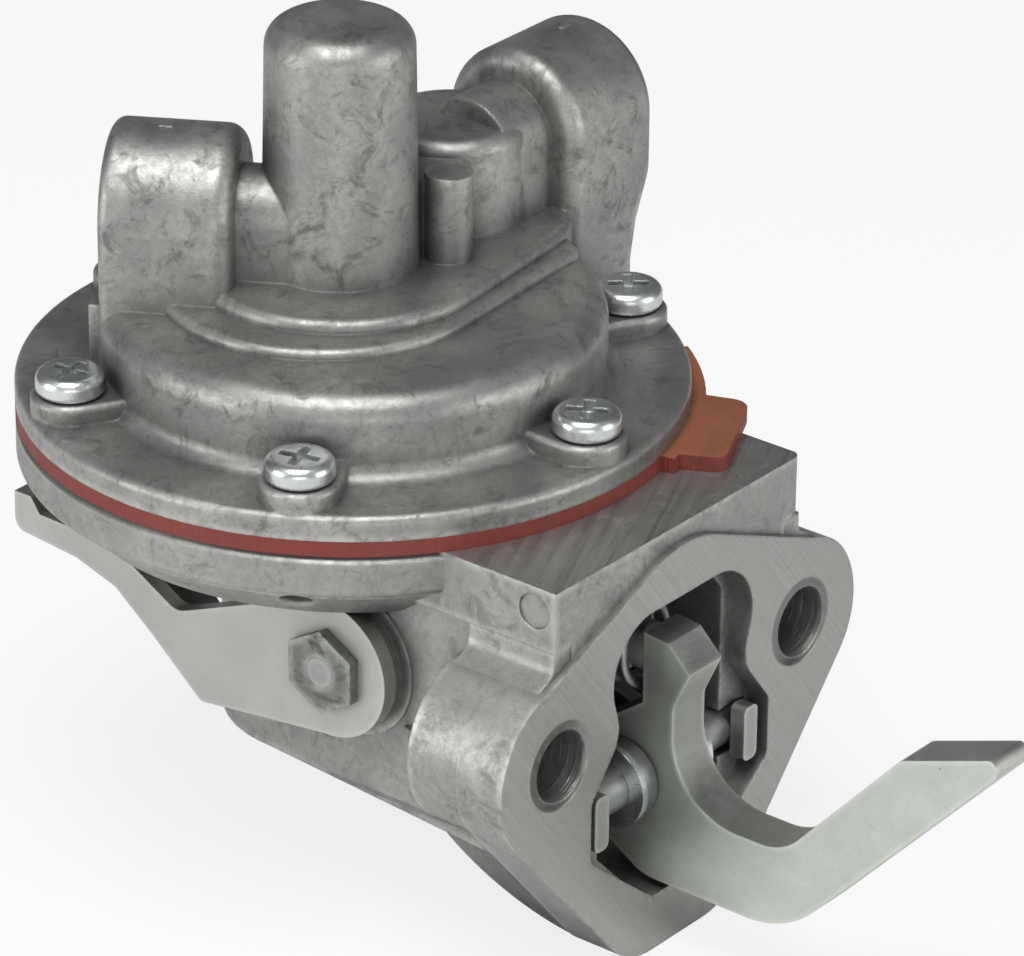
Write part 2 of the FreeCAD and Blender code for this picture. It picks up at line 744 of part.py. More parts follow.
# outlet port boss, built along X and turned to its direction about the diaphragm axis
outlet_boss = arched("OutletBoss", zero, port_radius, outlet_level + port_radius, port_foot, outlet_start,
                     outlet_end)
round_off(outlet_boss, "OutletInnerRound", port_round, end_loop(outlet_start, port_foot + 1))
round_off(outlet_boss, "OutletOuterRound", port_lip_round, end_loop(outlet_end, port_foot + 1))
outlet_foot = block("OutletFoot", outlet_foot_end - outlet_start - 4, outlet_foot_half * 2,
                    cover_drum_top - port_foot, outlet_start + 4, -outlet_foot_half, port_foot)
outlet_neck = arched("OutletNeck", zero, outlet_neck_radius, outlet_level + outlet_neck_radius, flange_top,
                     zero, outlet_start + 3)
outlet_group = join("OutletGroup", [outlet_boss, outlet_foot, outlet_neck])
outlet_spin = Rotation(Vector(0, 0, 1), outlet_turn.value)
place(outlet_group, zero, body_reach, zero, outlet_spin)

cover_solid = join("CoverSolid", [cover_base, tier, step, dome_skin, cup_skin, rib_post, rib_web, pad_all,
                                  inlet_shape, inlet_neck, outlet_group])

cover_cuts = [
    rod("Chamber", chamber_radius, chamber_top - cover_level + 1, zero, body_reach, cover_level - 1),
    rod("DomePocket", valve_pocket, valve_step_level - chamber_top + 1, dome_x, dome_y, chamber_top - 1),
    rod("CupPocket", valve_pocket, valve_step_level - chamber_top + 1, cup_x, cup_y, chamber_top - 1),
    rod("DomeBore", air_bore, dome_bore_top - chamber_top, dome_x, dome_y, chamber_top),
    rod("CupBore", air_bore, cup_bore_top - chamber_top, cup_x, cup_y, chamber_top),
    rod("InletThread", port_thread, port_thread_depth + 1, inlet_end - port_thread_depth, inlet_axis_y,
        inlet_level, ALONG_X),
    taper("InletLead", port_thread, port_thread + port_lead * 2, port_lead * 2, inlet_end - port_lead,
          inlet_axis_y, inlet_level, ALONG_X),
    rod("InletPassage", port_passage, inlet_end - port_thread_depth - cup_x + 1, cup_x, inlet_axis_y,
        inlet_passage_level, ALONG_X)]
outlet_cut_group = join("OutletCuts", [
    rod("OutletThread", port_thread, port_thread_depth + 1, outlet_end - port_thread_depth, zero,
        outlet_level, ALONG_X),
    taper("OutletLead", port_thread, port_thread + port_lead * 2, port_lead * 2, outlet_end - port_lead,
          zero, outlet_level, ALONG_X),
    rod("OutletPassage", port_passage, outlet_end - port_thread_depth - 2, 3, zero, outlet_level, ALONG_X)])
place(outlet_cut_group, zero, body_reach, zero, outlet_spin)
cover_cuts.append(outlet_cut_group)
for k, (sx, sy, turn) in enumerate(screw_spots):
    cover_cuts.append(rod("CoverHole%d" % k, screw_thread + screw_clear, pad_top - cover_level + 2, sx, sy,
                          cover_level - 1))
    # head room where a port skirt comes near a screw
    cover_cuts.append(rod("HeadRoom%d" % k, screw_head_radius + slide_gap, screw_head_height + 3, sx, sy,
                          pad_top))
cover = finish(cut("Cover", cover_solid, cover_cuts), "upper_body")

# Cover screws
screws = []
for k, (sx, sy, turn) in enumerate(screw_spots):
    blank = turned("ScrewBlank%d" % k, [
        (0, pad_top - screw_length), (screw_thread, pad_top - screw_length), (screw_thread, pad_top),
        (screw_head_radius, pad_top), (screw_head_radius, pad_top + screw_head_height),
        (0, pad_top + screw_head_height)], sx, sy)
    round_off(blank, "ScrewCrown%d" % k, screw_head_round,
              ring_edge(screw_head_radius, pad_top + screw_head_height))
    round_off(blank, "ScrewSkirt%d" % k, 0.8, ring_edge(screw_head_radius, pad_top))
    level = pad_top + screw_head_height - recess_depth
    bars = []
    for n, offset in enumerate((0, 90)):
        spin_angle = math.radians(turn.value * 1.7 + 20 + offset)
        bar = block("RecessBar%d_%d" % (k, n), recess_arm * 2, recess_width, recess_depth + 1,
                    zero, zero, level)
        side = Vector(-recess_arm.value, -recess_width.value / 2, 0)
        turn_bar = Rotation(Vector(0, 0, 1), math.degrees(spin_angle))
        shift = turn_bar.multVec(side)
        place(bar, sx + shift.x, sy + shift.y, level, turn_bar)
        bars.append(bar)
    screws.append(cut("Screw%d" % k, blank, bars))
screw_group = doc.addObject("Part::Compound", "CoverScrews")
screw_group.Links = screws
finish(screw_group, "cover_screws")

# Diaphragm
sheet_disc = rod("DiaphragmDisc", rim_radius, diaphragm_gauge, zero, body_reach, seat_level)
lobe = rod("DiaphragmLobe", lobe_radius, diaphragm_gauge, zero, body_reach, seat_level)
lobe.setExpression("Angle", lobe_sweep.text)
place(lobe, zero, body_reach, seat_level, Rotation(Vector(0, 0, 1), lobe_from.value))
tab = slab("DiaphragmTab", "XY", [(30, -tab_half_width), (tab_radius, -tab_half_width + 0.6),
                                  (tab_radius, tab_half_width - 1.4), (30, tab_half_width)],
           zero, diaphragm_gauge)
round_off(tab, "TabRoundA", 1.6, corner("XY", tab_radius, -tab_half_width + 0.6))
round_off(tab, "TabRoundB", 2.2, corner("XY", tab_radius, tab_half_width - 1.4))
place(tab, zero, body_reach, seat_level, Rotation(Vector(0, 0, 1), tab_angle.value))
diaphragm_cuts = [rod("DiaphragmEye", rod_radius, 5, zero, body_reach, seat_level - 1)]
for k, (sx, sy, turn) in enumerate(screw_spots):
    diaphragm_cuts.append(rod("SheetHole%d" % k, screw_thread + screw_clear, diaphragm_gauge + 2, sx, sy,
                              seat_level - 1))
diaphragm = cut("Diaphragm", join("DiaphragmSheet", [sheet_disc, lobe, tab]), diaphragm_cuts)
finish(diaphragm, "diaphragm")

upper_plate = turned("UpperPlate", [
    (rod_radius, cover_level), (upper_plate_radius - 2, cover_level),
    (upper_plate_radius, cover_level + 0.7), (upper_plate_radius, cover_level + plate_gauge + 0.7),
    (upper_plate_radius - 2, cover_level + plate_gauge), (rod_radius, cover_level + plate_gauge)],
    zero, body_reach)
finish(upper_plate, "diaphragm_upper_plate")
spring_seat_radius = spring_mean - spring_wire - 1.5
lower_plate = turned("LowerPlate", [
    (rod_radius, seat_level), (lower_plate_radius - 2, seat_level),
    (lower_plate_radius, seat_level - 0.7), (lower_plate_radius, seat_level - plate_gauge - 0.7),
    (lower_plate_radius - 2, seat_level - plate_gauge), (spring_seat_radius, seat_level - plate_gauge),
    (spring_seat_radius, seat_level - plate_gauge - 1.6),
    (spring_seat_radius - plate_gauge, seat_level - plate_gauge - 1.6),
    (spring_seat_radius - plate_gauge, seat_level - plate_gauge),
    (rod_radius, seat_level - plate_gauge)], zero, body_reach)
finish(lower_plate, "diaphragm_lower_plate")
pull_rod = turned("PullRod", [
    (0, rod_end_level), (rod_button_radius, rod_end_level),
    (rod_button_radius, rod_end_level + rod_button_height),
    (rod_radius, rod_end_level + rod_button_height), (rod_radius, cover_level + plate_gauge),
    (rod_head_radius, cover_level + plate_gauge),
    (rod_head_radius - 1.4, cover_level + plate_gauge + rod_head_height),
    (0, cover_level + plate_gauge + rod_head_height)], zero, body_reach)
finish(pull_rod, "pull_rod")

# Lower body
body_core = turned("BodyCore", [
    (0, box_roof_inner), (box_back_radius, box_roof_inner), (bowl_radius, bowl_floor),
    (bowl_radius, rim_foot), (rim_radius, rim_foot), (rim_radius, seat_level - rim_chamfer),
    (rim_radius - rim_chamfer, seat_level), (0, seat_level)], zero, body_reach)
round_off(body_core, "RimFootRound", 1.0, ring_edge(rim_radius, rim_foot))
round_off(body_core, "BowlRound", 2.0, ring_edge(bowl_radius, bowl_floor))
platform = slab("Platform", "XY", [
    (-platform_half, platform_back_step), (platform_half, platform_back_step),
    (platform_half, body_reach), (-platform_half, body_reach)], seat_level - platform_depth, seat_level)
round_off(platform, "PlatformCorner", 1.2, corner("XY", platform_half, platform_back_step))

box_shell = slab("BoxShell", "XY", [
    (-box_front_half, platform_back_step), (box_front_half, platform_back_step),
    (box_back_radius, body_reach), (-box_back_radius, body_reach)], box_floor, rim_foot)
box_end = rod("BoxEnd", box_back_radius, rim_foot - box_floor, zero, body_reach, box_floor)

face_points = [(zero, face_apex), (face_lobe_x, face_lobe_z), (face_foot_x, face_foot_z),
               (-face_foot_x, face_foot_z), (-face_lobe_x, face_lobe_z)]
flange_plate = slab("FlangePlate", "XZ", face_points, zero, flange_thick)
round_off(flange_plate, "LobeRound", lobe_round,
          lambda edge: corner("XZ", face_lobe_x, face_lobe_z)(edge) or
          corner("XZ", -face_lobe_x, face_lobe_z)(edge))
round_off(flange_plate, "ApexRound", apex_round, corner("XZ", zero, face_apex))
round_off(flange_plate, "FootRound", foot_round,
          lambda edge: corner("XZ", face_foot_x, face_foot_z)(edge) or
          corner("XZ", -face_foot_x, face_foot_z)(edge))
bosses = []
for side, tag in ((-1, "Near"), (1, "Far")):
    bosses.append(rod("MountBoss" + tag, lobe_round, boss_reach, mount_half_pitch * side, zero, zero,
                      ALONG_Y))
nose_prism = slab("NosePrism", "XZ", [
    (-nose_half, pin_z + 6), (nose_half, pin_z + 6), (nose_half, pin_z - 4),
    (nose_foot_half, pin_z - nose_radius), (-nose_foot_half, pin_z - nose_radius),
    (-nose_half, pin_z - 4)], zero, pin_y + nose_radius)
nose_drum = rod("NoseDrum", nose_radius, nose_half * 2 + 2, -nose_half - 1, pin_y, pin_z, ALONG_X)
nose = overlap("Nose", nose_prism, nose_drum)

primer_bosses = [
    rod("PrimerBoss", primer_boss_radius, (boss_face - primer_boss_step) * 2, -(boss_face - primer_boss_step),
        primer_y, primer_z, ALONG_X),
    rod("PrimerBossStep", primer_boss_small, boss_face * 2, -boss_face, primer_y, primer_z, ALONG_X)]

gussets = []
for side, tag in ((-1, "Near"), (1, "Far")):
    wall = box_front_half * side
    if side < 0:
        gussets.append(slab("Gusset" + tag, "YZ", gusset_sizes, wall - gusset_out, wall + gusset_in))
    else:
        gussets.append(slab("Gusset" + tag, "YZ", gusset_sizes, wall - gusset_in, wall + gusset_out))

body_solid = join("BodySolid", [body_core, platform, box_shell, box_end, flange_plate] + bosses +
                  [nose] + primer_bosses + gussets)

mouth_half = [(mouth_top_x, mouth_top_z), (mouth_waist_x, mouth_waist_z), (mouth_slot_x, mouth_slot_top),
              (mouth_slot_x, mouth_slot_foot), (mouth_foot_x, mouth_foot_z)]
mouth = slab("Mouth", "XZ", mirrored(mouth_half), -1, mouth_depth)
round_off(mouth, "MouthTopRound", mouth_round,
          lambda edge: corner("XZ", mouth_top_x, mouth_top_z)(edge) or
          corner("XZ", -mouth_top_x, mouth_top_z)(edge))
round_off(mouth, "MouthWaistRound", 4.5,
          lambda edge: corner("XZ", mouth_waist_x, mouth_waist_z)(edge) or
          corner("XZ", -mouth_waist_x, mouth_waist_z)(edge))
round_off(mouth, "MouthSlotRound", 1.6,
          lambda edge: corner("XZ", mouth_slot_x, mouth_slot_top)(edge) or
          corner("XZ", -mouth_slot_x, mouth_slot_top)(edge) or
          corner("XZ", mouth_slot_x, mouth_slot_foot)(edge) or
          corner("XZ", -mouth_slot_x, mouth_slot_foot)(edge))
round_off(mouth, "MouthFootRound", 5.0,
          lambda edge: corner("XZ", mouth_foot_x, mouth_foot_z)(edge) or
          corner("XZ", -mouth_foot_x, mouth_foot_z)(edge))
inner = slab("InnerRoom", "XZ", mirrored([
    (inner_half - 2.5, inner_top), (inner_half, inner_top - 3), (inner_half, mouth_slot_foot - 3),
    (mouth_foot_x, mouth_foot_z)]), -1, inner_back)

link_room_top = box_roof_inner - 0.4
link_room = slab("LinkRoom", "XY", [
    (-inner_half, inner_back - 6), (inner_half, inner_back - 6),
    (box_back_radius - box_wall, body_reach), (-(box_back_radius - box_wall), body_reach)],
    box_floor + box_wall, link_room_top)
link_end = rod("LinkRoomEnd", box_back_radius - box_wall, link_room_top - box_floor - box_wall, zero,
               body_reach, box_floor + box_wall)
primer_room = block("PrimerRoom", primer_room_half * 2, primer_room_reach * 2,
                    primer_room_top - link_room_top + 1, -primer_room_half, primer_y - primer_room_reach,
                    link_room_top - 1)

pin_slot = block("PinSlot", pin_half * 2 + slide_gap * 2, pin_y + 1, (pin_radius + fit_gap) * 2,
                 -pin_half - slide_gap, -1, pin_z - pin_radius - fit_gap)
pin_bore = rod("PinBore", pin_radius + fit_gap, pin_half * 2 + slide_gap * 2, -pin_half - slide_gap, pin_y,
               pin_z, ALONG_X)

body_cuts = [
    mouth, inner, link_room, link_end, primer_room, pin_slot, pin_bore,
    rod("Cavity", cavity_radius, seat_level - cavity_floor + 1, zero, body_reach, cavity_floor),
    taper("CavityMouth", cavity_radius, cavity_mouth, seat_level - cavity_cone_level, zero, body_reach,
          cavity_cone_level),
    rod("SealPocket", seal_pocket, cavity_floor - seal_level + 1, zero, body_reach, seal_level),
    rod("RodHole", rod_radius + rod_hole_clear, 20, zero, body_reach, -2),
    rod("PrimerBore", primer_shaft_radius + fit_gap, boss_face * 2 + 2, -boss_face - 1, primer_y, primer_z,
        ALONG_X)]
for side, tag in ((-1, "Near"), (1, "Far")):
    x_spot = mount_half_pitch * side
    body_cuts.append(rod("MountHole" + tag, mount_bore, boss_reach + 4, x_spot, -1, zero, ALONG_Y))
for k, (sx, sy, turn) in enumerate(screw_spots):
    body_cuts.append(rod("BodyHole%d" % k, screw_thread + fit_gap, rim_depth + 2, sx, sy, rim_foot - 1))
# vent to the outside air under the diaphragm
vent_way = Rotation(Vector(0, 0, 1), vent_turn.value).multiply(ALONG_X)
body_cuts.append(rod("Vent", vent_radius, bowl_radius - vent_root + 3, vent_root * cosine(vent_turn),
                     body_reach + vent_root * sine(vent_turn), vent_level, vent_way))
# ejector mark on the platform's side
body_cuts.append(rod("EjectorMark", ejector_radius, ejector_depth + 1, -platform_half - 1, ejector_y,
                     ejector_z, ALONG_X))
body = finish(cut("LowerBody", body_solid, body_cuts), "lower_body")

# Rod seal and spring
seal_height = cavity_floor - seal_level
seal = turned("OilSeal", [
    (rod_radius + fit_gap, seal_level), (seal_pocket - 0.02, seal_level),
    (seal_pocket - 0.02, cavity_floor - 0.6), (rod_radius + 1.6, cavity_floor - 0.6),
    (rod_radius + fit_gap, cavity_floor - 1.4)], zero, body_reach)
finish(seal, "oil_seal")
seal_cup = turned("SealRetainer", [
    (rod_radius + 1.8, cavity_floor - 0.6), (seal_pocket - 0.02, cavity_floor - 0.6),
    (seal_pocket - 0.02, cavity_floor), (seal_cup_radius, cavity_floor),
    (seal_cup_radius, seal_cup_top), (seal_cup_radius - seal_cup_gauge, seal_cup_top),
    (seal_cup_radius - seal_cup_gauge, spring_low), (rod_radius + 1.8, spring_low)], zero, body_reach)
finish(seal_cup, "seal_retainer")
diaphragm_spring = coil("DiaphragmSpring", spring_wire, spring_mean, diaphragm_spring_length, spring_turns,
                        zero, body_reach, spring_low)
finish(diaphragm_spring, "diaphragm_spring")

# Rocker arm
arm = slab("ArmBar", "YZ", arm_sizes, -arm_half, arm_half)
for k, radius in ((14, arm_elbow_round), (15, arm_hollow_round), (10, arm_belly_round), (9, 6.0), (11, 1.5),
                  (12, 0.8), (13, 2.0), (16, 2.5), (5, 2.0), (6, 2.0), (7, 2.0), (8, 2.0)):
    round_off(arm, "ArmRound%d" % k, radius, corner("YZ", arm_sizes[k][0], arm_sizes[k][1]))
spring_stub = rod("SpringStub", rocker_spring_mean - rocker_spring_wire - 1.1, 2.6, zero, arm_back - 0.2,
                  rocker_spring_level, ALONG_Y)
arm_bore = rod("ArmBore", pin_radius + fit_gap, arm_half * 2 + 2, -arm_half - 1, pin_y, pin_z, ALONG_X)
rocker = finish(cut("RockerArm", join("ArmBlank", [arm, spring_stub]), [arm_bore]), "rocker_arm")

rocker_pin = turned("RockerPin", [
    (0, -pin_half), (pin_radius - 0.4, -pin_half), (pin_radius, -pin_half + 0.4),
    (pin_radius, pin_half - 0.4),
    (pin_radius - 0.4, pin_half), (0, pin_half)], zero, pin_y, pin_z, ALONG_X)
finish(rocker_pin, "rocker_pin")

washers = []
retainers = []
for side, tag in ((-1, "Near"), (1, "Far")):
    start = link_half + slide_gap if side > 0 else -link_half - slide_gap - washer_gauge
    ring = rod("WasherDisc" + tag, washer_radius, washer_gauge, start, pin_y, pin_z, ALONG_X)
    eye = rod("WasherEye" + tag, pin_radius + fit_gap, washer_gauge + 2, start - 1, pin_y, pin_z, ALONG_X)
    washers.append(cut("RockerWasher" + tag, ring, [eye]))
    far_x = (pin_half - retainer_from_end) * side
    near_x = (pin_half - retainer_from_end - retainer_width) * side
    low = pin_z - retainer_height / 2
    high = pin_z + retainer_height / 2
    lug = slab("Retainer" + tag, "XZ", [(near_x, low), (far_x, low), (far_x, high), (near_x, high)],
               retainer_inset, pin_y - pin_radius)
    round_off(lug, "RetainerRound" + tag, retainer_round,
              lambda edge: edge.Length > 1.0 and abs(edge.CenterOfMass.y - (pin_y.value - pin_radius.value +
                                                     retainer_inset.value) / 2) < 0.01)
    retainers.append(lug)
washer_group = doc.addObject("Part::Compound", "RockerWashers")
washer_group.Links = washers
finish(washer_group, "rocker_washers")
retainer_group = doc.addObject("Part::Compound", "PinRetainers")
retainer_group.Links = retainers
finish(retainer_group, "pin_retainers")

rocker_spring = coil("RockerSpring", rocker_spring_wire, rocker_spring_mean, rocker_spring_length,
                     rocker_spring_turns, zero, arm_back, rocker_spring_level, ALONG_Y)
finish(rocker_spring, "rocker_spring")

# Link lever
link_mid_foot = link_back_level - link_back_depth
link_bar = slab("LinkBar", "YZ", [
    (pin_y + 0.5, pin_z + link_hub - 0.1), (pin_y + 4.0, pin_z + 5.0), (pin_y + 19.0, link_back_level),
    (primer_y + primer_shaft_radius + 2.5, link_back_level), (body_reach - 7.5, link_tip_level),
    (link_tip_y, link_tip_level), (link_tip_y, link_foot + 0.5), (body_reach, link_foot),
    (body_reach - 7.5, link_foot), (primer_y + primer_shaft_radius + 2.5, link_mid_foot),
    (pin_y + 18.0, link_mid_foot - 1.6), (pin_y + 9.7, pin_z - 0.8), (pin_y + 3.3, pin_z - 3.3)],
    -link_half, link_half)
link_body = join("LinkBody", [link_bar, rod("LinkHub", link_hub, link_half * 2, -link_half, pin_y, pin_z,
                                            ALONG_X)])
link_slot = block("LinkSlot", (arm_half + link_cheek_gap) * 2, 40, 40, -(arm_half + link_cheek_gap),
                  arm_sizes[6][0] + slide_gap - 40, pin_z - 20)
link_bore = rod("LinkBore", pin_radius + fit_gap, link_half * 2 + 2, -link_half - 1, pin_y, pin_z, ALONG_X)
link_eye = block("LinkRodSlot", (rod_radius + slide_gap) * 2, 14, link_tip_depth + 4,
                 -(rod_radius + slide_gap), body_reach - rod_radius - 1.3, link_foot - 2)
link = finish(cut("LinkLever", link_body, [link_slot, link_bore, link_eye]), "link_lever")

# Priming lever
lever_plate = slab("LeverPlate", "YZ", lever_sizes, -lever_half, lever_half)
for k, radius in ((2, 2.5), (8, 1.6), (12, 1.0)):
    round_off(lever_plate, "LeverRound%d" % k, radius, corner("YZ", lever_sizes[k][0], lever_sizes[k][1]))
lever_eye_disc = rod("LeverEye", lever_eye, lever_half * 2, -lever_half, primer_y, primer_z, ALONG_X)
lever_blank = join("LeverBlank", [lever_plate, lever_eye_disc])
lever_room = slab("LeverRoom", "YZ", [
    (primer_y - lever_room_before, 40), (lever_end_y - lever_gauge, 40),
    (lever_end_y - lever_gauge, lever_sizes[8][1] + lever_gauge),
    (lever_sizes[9][0], lever_sizes[9][1] + lever_gauge),
    (lever_sizes[10][0] - 0.9, lever_sizes[10][1] + lever_gauge - 0.1),
    (lever_sizes[11][0] - 1.2, lever_sizes[11][1] + lever_gauge - 0.3),
    (lever_sizes[12][0] + 1.5, lever_sizes[12][1] + lever_gauge + 1.5), (lever_sizes[12][0] + 1.5, -30),
    (primer_y - lever_room_before, -30)], -(lever_half - lever_gauge), lever_half - lever_gauge)
lever_gap_start = primer_y - lever_gap_before
lever_gap = block("LeverWindow", lever_window * 2,
                  lever_end_y - lever_gauge - lever_plate_depth - lever_gap_start, 60, -lever_window,
                  lever_gap_start, -30)
lever_holes = [
    block("LeverSquare", lever_half * 2 + 2, lever_square * 2, lever_square * 2, -lever_half - 1,
          primer_y - lever_square, primer_z - lever_square)]
lever = finish(cut("PrimingLever", lever_blank, [lever_room, lever_gap] + lever_holes), "priming_lever")

shaft_bar = rod("ShaftBar", primer_shaft_radius, boss_face * 2, -boss_face, primer_y, primer_z, ALONG_X)
square_side = lever_square - fit_gap
shaft_square = block("ShaftSquare", lever_half * 2, square_side * 2, square_side * 2, -lever_half,
                     primer_y - square_side, primer_z - square_side)
shaft_ends = rod("ShaftEnds", shaft_end_radius, (lever_half + collar_height) * 2,
                 -(lever_half + collar_height), primer_y, primer_z, ALONG_X)
# the cam is a flat milled into the shaft over the link, so the shaft still slides in through its bores
cam_cut = block("CamCut", cam_half * 2, primer_shaft_radius * 2 + 2, primer_shaft_radius, -cam_half,
                primer_y - primer_shaft_radius - 1, primer_z - cam_flat - primer_shaft_radius)
shaft = finish(cut("PrimerShaft", join("ShaftBlank", [shaft_bar, shaft_square, shaft_ends]), [cam_cut]),
               "primer_shaft")

collars = []
for side, tag in ((-1, "Near"), (1, "Far")):
    start = as_size(lever_half) if side > 0 else -(lever_half + collar_height)
    hexagon = doc.addObject("Part::Prism", "CollarHex" + tag)
    hexagon.Polygon = 6
    hexagon.setExpression("Circumradius", collar_radius.text)
    hexagon.setExpression("Height", collar_height.text)
    place(hexagon, start, primer_y, primer_z, ALONG_X)
    hole = rod("CollarEye" + tag, shaft_end_radius + 0.01, collar_height + 2, start - 1, primer_y, primer_z,
               ALONG_X)
    collars.append(cut("Collar" + tag, hexagon, [hole]))
collar_group = doc.addObject("Part::Compound", "ShaftCollars")
collar_group.Links = collars
finish(collar_group, "shaft_collars")

# return spring of the priming lever: a close coil round the shaft beside the cam
primer_spring = coil("PrimerSpring", primer_spring_wire, primer_spring_mean, primer_spring_length,
                     primer_spring_turns, primer_spring_start, primer_y, primer_z, ALONG_X)
finish(primer_spring, "primer_spring")

# Valves
gasket_level = valve_step_level - valve_gasket_gauge
seat_top = gasket_level
seat_foot = seat_top - seat_disc_gauge
gaskets = []
for tag, vx, vy, way in (("Outlet", dome_x, dome_y, 1), ("Inlet", cup_x, cup_y, -1)):
    plate = rod(tag + "Plate", valve_pocket - 0.02, seat_disc_gauge, vx, vy, seat_foot)
    stem_length = valve_disc_gauge + valve_spring_height + valve_cap_gauge + 1
    stem_low = seat_top - 0.5 if way > 0 else seat_foot + 0.5 - stem_length
    stem = rod(tag + "Stem", valve_stem, stem_length, vx, vy, stem_low)
    holes = []
    for k in range(6):
        angle = math.radians(60 * k)
        holes.append(rod("%sPort%d" % (tag, k), valve_port, seat_disc_gauge + 2,
                         vx + valve_port_circle * math.cos(angle), vy + valve_port_circle * math.sin(angle),
                         seat_foot - 1))
    seat = cut(tag + "Seat", join(tag + "SeatBlank", [plate, stem]), holes)
    finish(seat, tag.lower() + "_valve_seat")
    disc_low = seat_top + fit_gap if way > 0 else seat_foot - fit_gap - valve_disc_gauge
    disc = cut(tag + "Disc", rod(tag + "DiscPlate", valve_disc_radius, valve_disc_gauge, vx, vy, disc_low),
               [rod(tag + "DiscEye", valve_stem + 0.08, valve_disc_gauge + 2, vx, vy, disc_low - 1)])
    finish(disc, tag.lower() + "_valve_disc")
    spring_foot = disc_low + valve_disc_gauge if way > 0 else disc_low - valve_spring_height
    wire = coil(tag + "Spring", valve_spring_wire, valve_spring_mean, valve_spring_height,
                valve_spring_turns, vx, vy, spring_foot)
    finish(wire, tag.lower() + "_valve_spring")
    cap_low = spring_foot + valve_spring_height if way > 0 else spring_foot - valve_cap_gauge
    cap = cut(tag + "Cap", rod(tag + "CapDisc", valve_cap_radius, valve_cap_gauge, vx, vy, cap_low),
              [rod(tag + "CapEye", valve_stem, valve_cap_gauge + 2, vx, vy, cap_low - 1)])
    finish(cap, tag.lower() + "_valve_cap")
    ring = rod(tag + "GasketDisc", valve_pocket - 0.02, valve_gasket_gauge, vx, vy, gasket_level)
    gaskets.append(cut(tag + "Gasket", ring, [rod(tag + "GasketEye", air_bore, valve_gasket_gauge + 2, vx, vy,
                                                  gasket_level - 1)]))
gasket_group = doc.addObject("Part::Compound", "ValveGaskets")
gasket_group.Links = gaskets
finish(gasket_group, "valve_gaskets")

doc.recompute()

faults = []
for item in doc.Objects:
    if "Invalid" in item.State or "Error" in item.State:
        faults.append("%s: %s" % (item.Name, item.State))
for item in nodes:
    shape = item.Shape
    if shape.isNull() or not shape.isValid() or len(shape.Solids) == 0:
        faults.append("%s has no sound shape" % item.Label)
if faults:
    raise RuntimeError("; ".join(faults))
for item in nodes:
    item.Shape.exportStep("parts/%s.step" % item.Label)
    box = item.Shape.BoundBox
    print("%-24s solids %d  x %.1f %.1f  y %.1f %.1f  z %.1f %.1f  v %.0f" % (
        item.Label, len(item.Shape.Solids), box.XMin, box.XMax, box.YMin, box.YMax, box.ZMin, box.ZMax,
        item.Shape.Volume))
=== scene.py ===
# Mechanical fuel pump: finish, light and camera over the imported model.
# Metres, in the frame of the solids: +Z up along the diaphragm axis, the mounting face on Y = 0.
import math

import bmesh
import bpy
from mathutils import Matrix, Vector


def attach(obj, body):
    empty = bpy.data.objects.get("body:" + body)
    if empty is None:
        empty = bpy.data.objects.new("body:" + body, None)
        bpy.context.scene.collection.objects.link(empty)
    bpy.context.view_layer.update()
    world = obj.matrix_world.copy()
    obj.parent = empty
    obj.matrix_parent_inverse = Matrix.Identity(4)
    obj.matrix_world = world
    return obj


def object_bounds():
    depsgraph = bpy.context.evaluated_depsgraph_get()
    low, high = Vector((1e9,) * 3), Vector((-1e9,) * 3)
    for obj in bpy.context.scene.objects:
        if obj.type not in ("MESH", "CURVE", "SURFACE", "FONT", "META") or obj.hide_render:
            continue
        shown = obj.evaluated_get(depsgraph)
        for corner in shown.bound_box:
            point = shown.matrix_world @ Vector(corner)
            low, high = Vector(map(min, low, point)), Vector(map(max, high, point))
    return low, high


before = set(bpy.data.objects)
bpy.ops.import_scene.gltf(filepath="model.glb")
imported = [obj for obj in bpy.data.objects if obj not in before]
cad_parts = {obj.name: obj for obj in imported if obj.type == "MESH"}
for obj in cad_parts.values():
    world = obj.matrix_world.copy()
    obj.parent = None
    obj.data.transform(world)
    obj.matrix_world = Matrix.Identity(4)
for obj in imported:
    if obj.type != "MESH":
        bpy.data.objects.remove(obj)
cad_low, cad_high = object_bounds()

MM = 0.001
# Places on the part that the materials and the added pieces follow
PLATFORM_Z = 21.2 * MM
HOLE_X = 22.225 * MM
HOLE_RADIUS = 4.3 * MM
HOLE_END_Y = 13.4 * MM
PIN_Y = 5.5 * MM
PIN_Z = -11.2 * MM
AXIS_Y_MM = 48.5
SIDES = {-1: "near", 1: "far"}
CAST_FACET = 32.0
# Rays that the soft edges and the painted shade in corners take at each sample
RAYS = 2

# The camera that was fitted to the photograph, 1024 x 956 pixels
CAMERA_AZIMUTH = -51.536
CAMERA_ELEVATION = 26.626
CAMERA_ROLL = 0.664
CAMERA_PLACE = (-510.763 * MM, -380.757 * MM, 346.044 * MM)
CAMERA_FOCUS_PX = 6420.0
FRAME_WIDTH_PX = 1024.0
SENSOR = 36.0
# Light tent: its glow rises from behind the pump to the camera's side (cosines, then strengths)
TENT = (-0.7, 0.8, 0.10, 0.42)


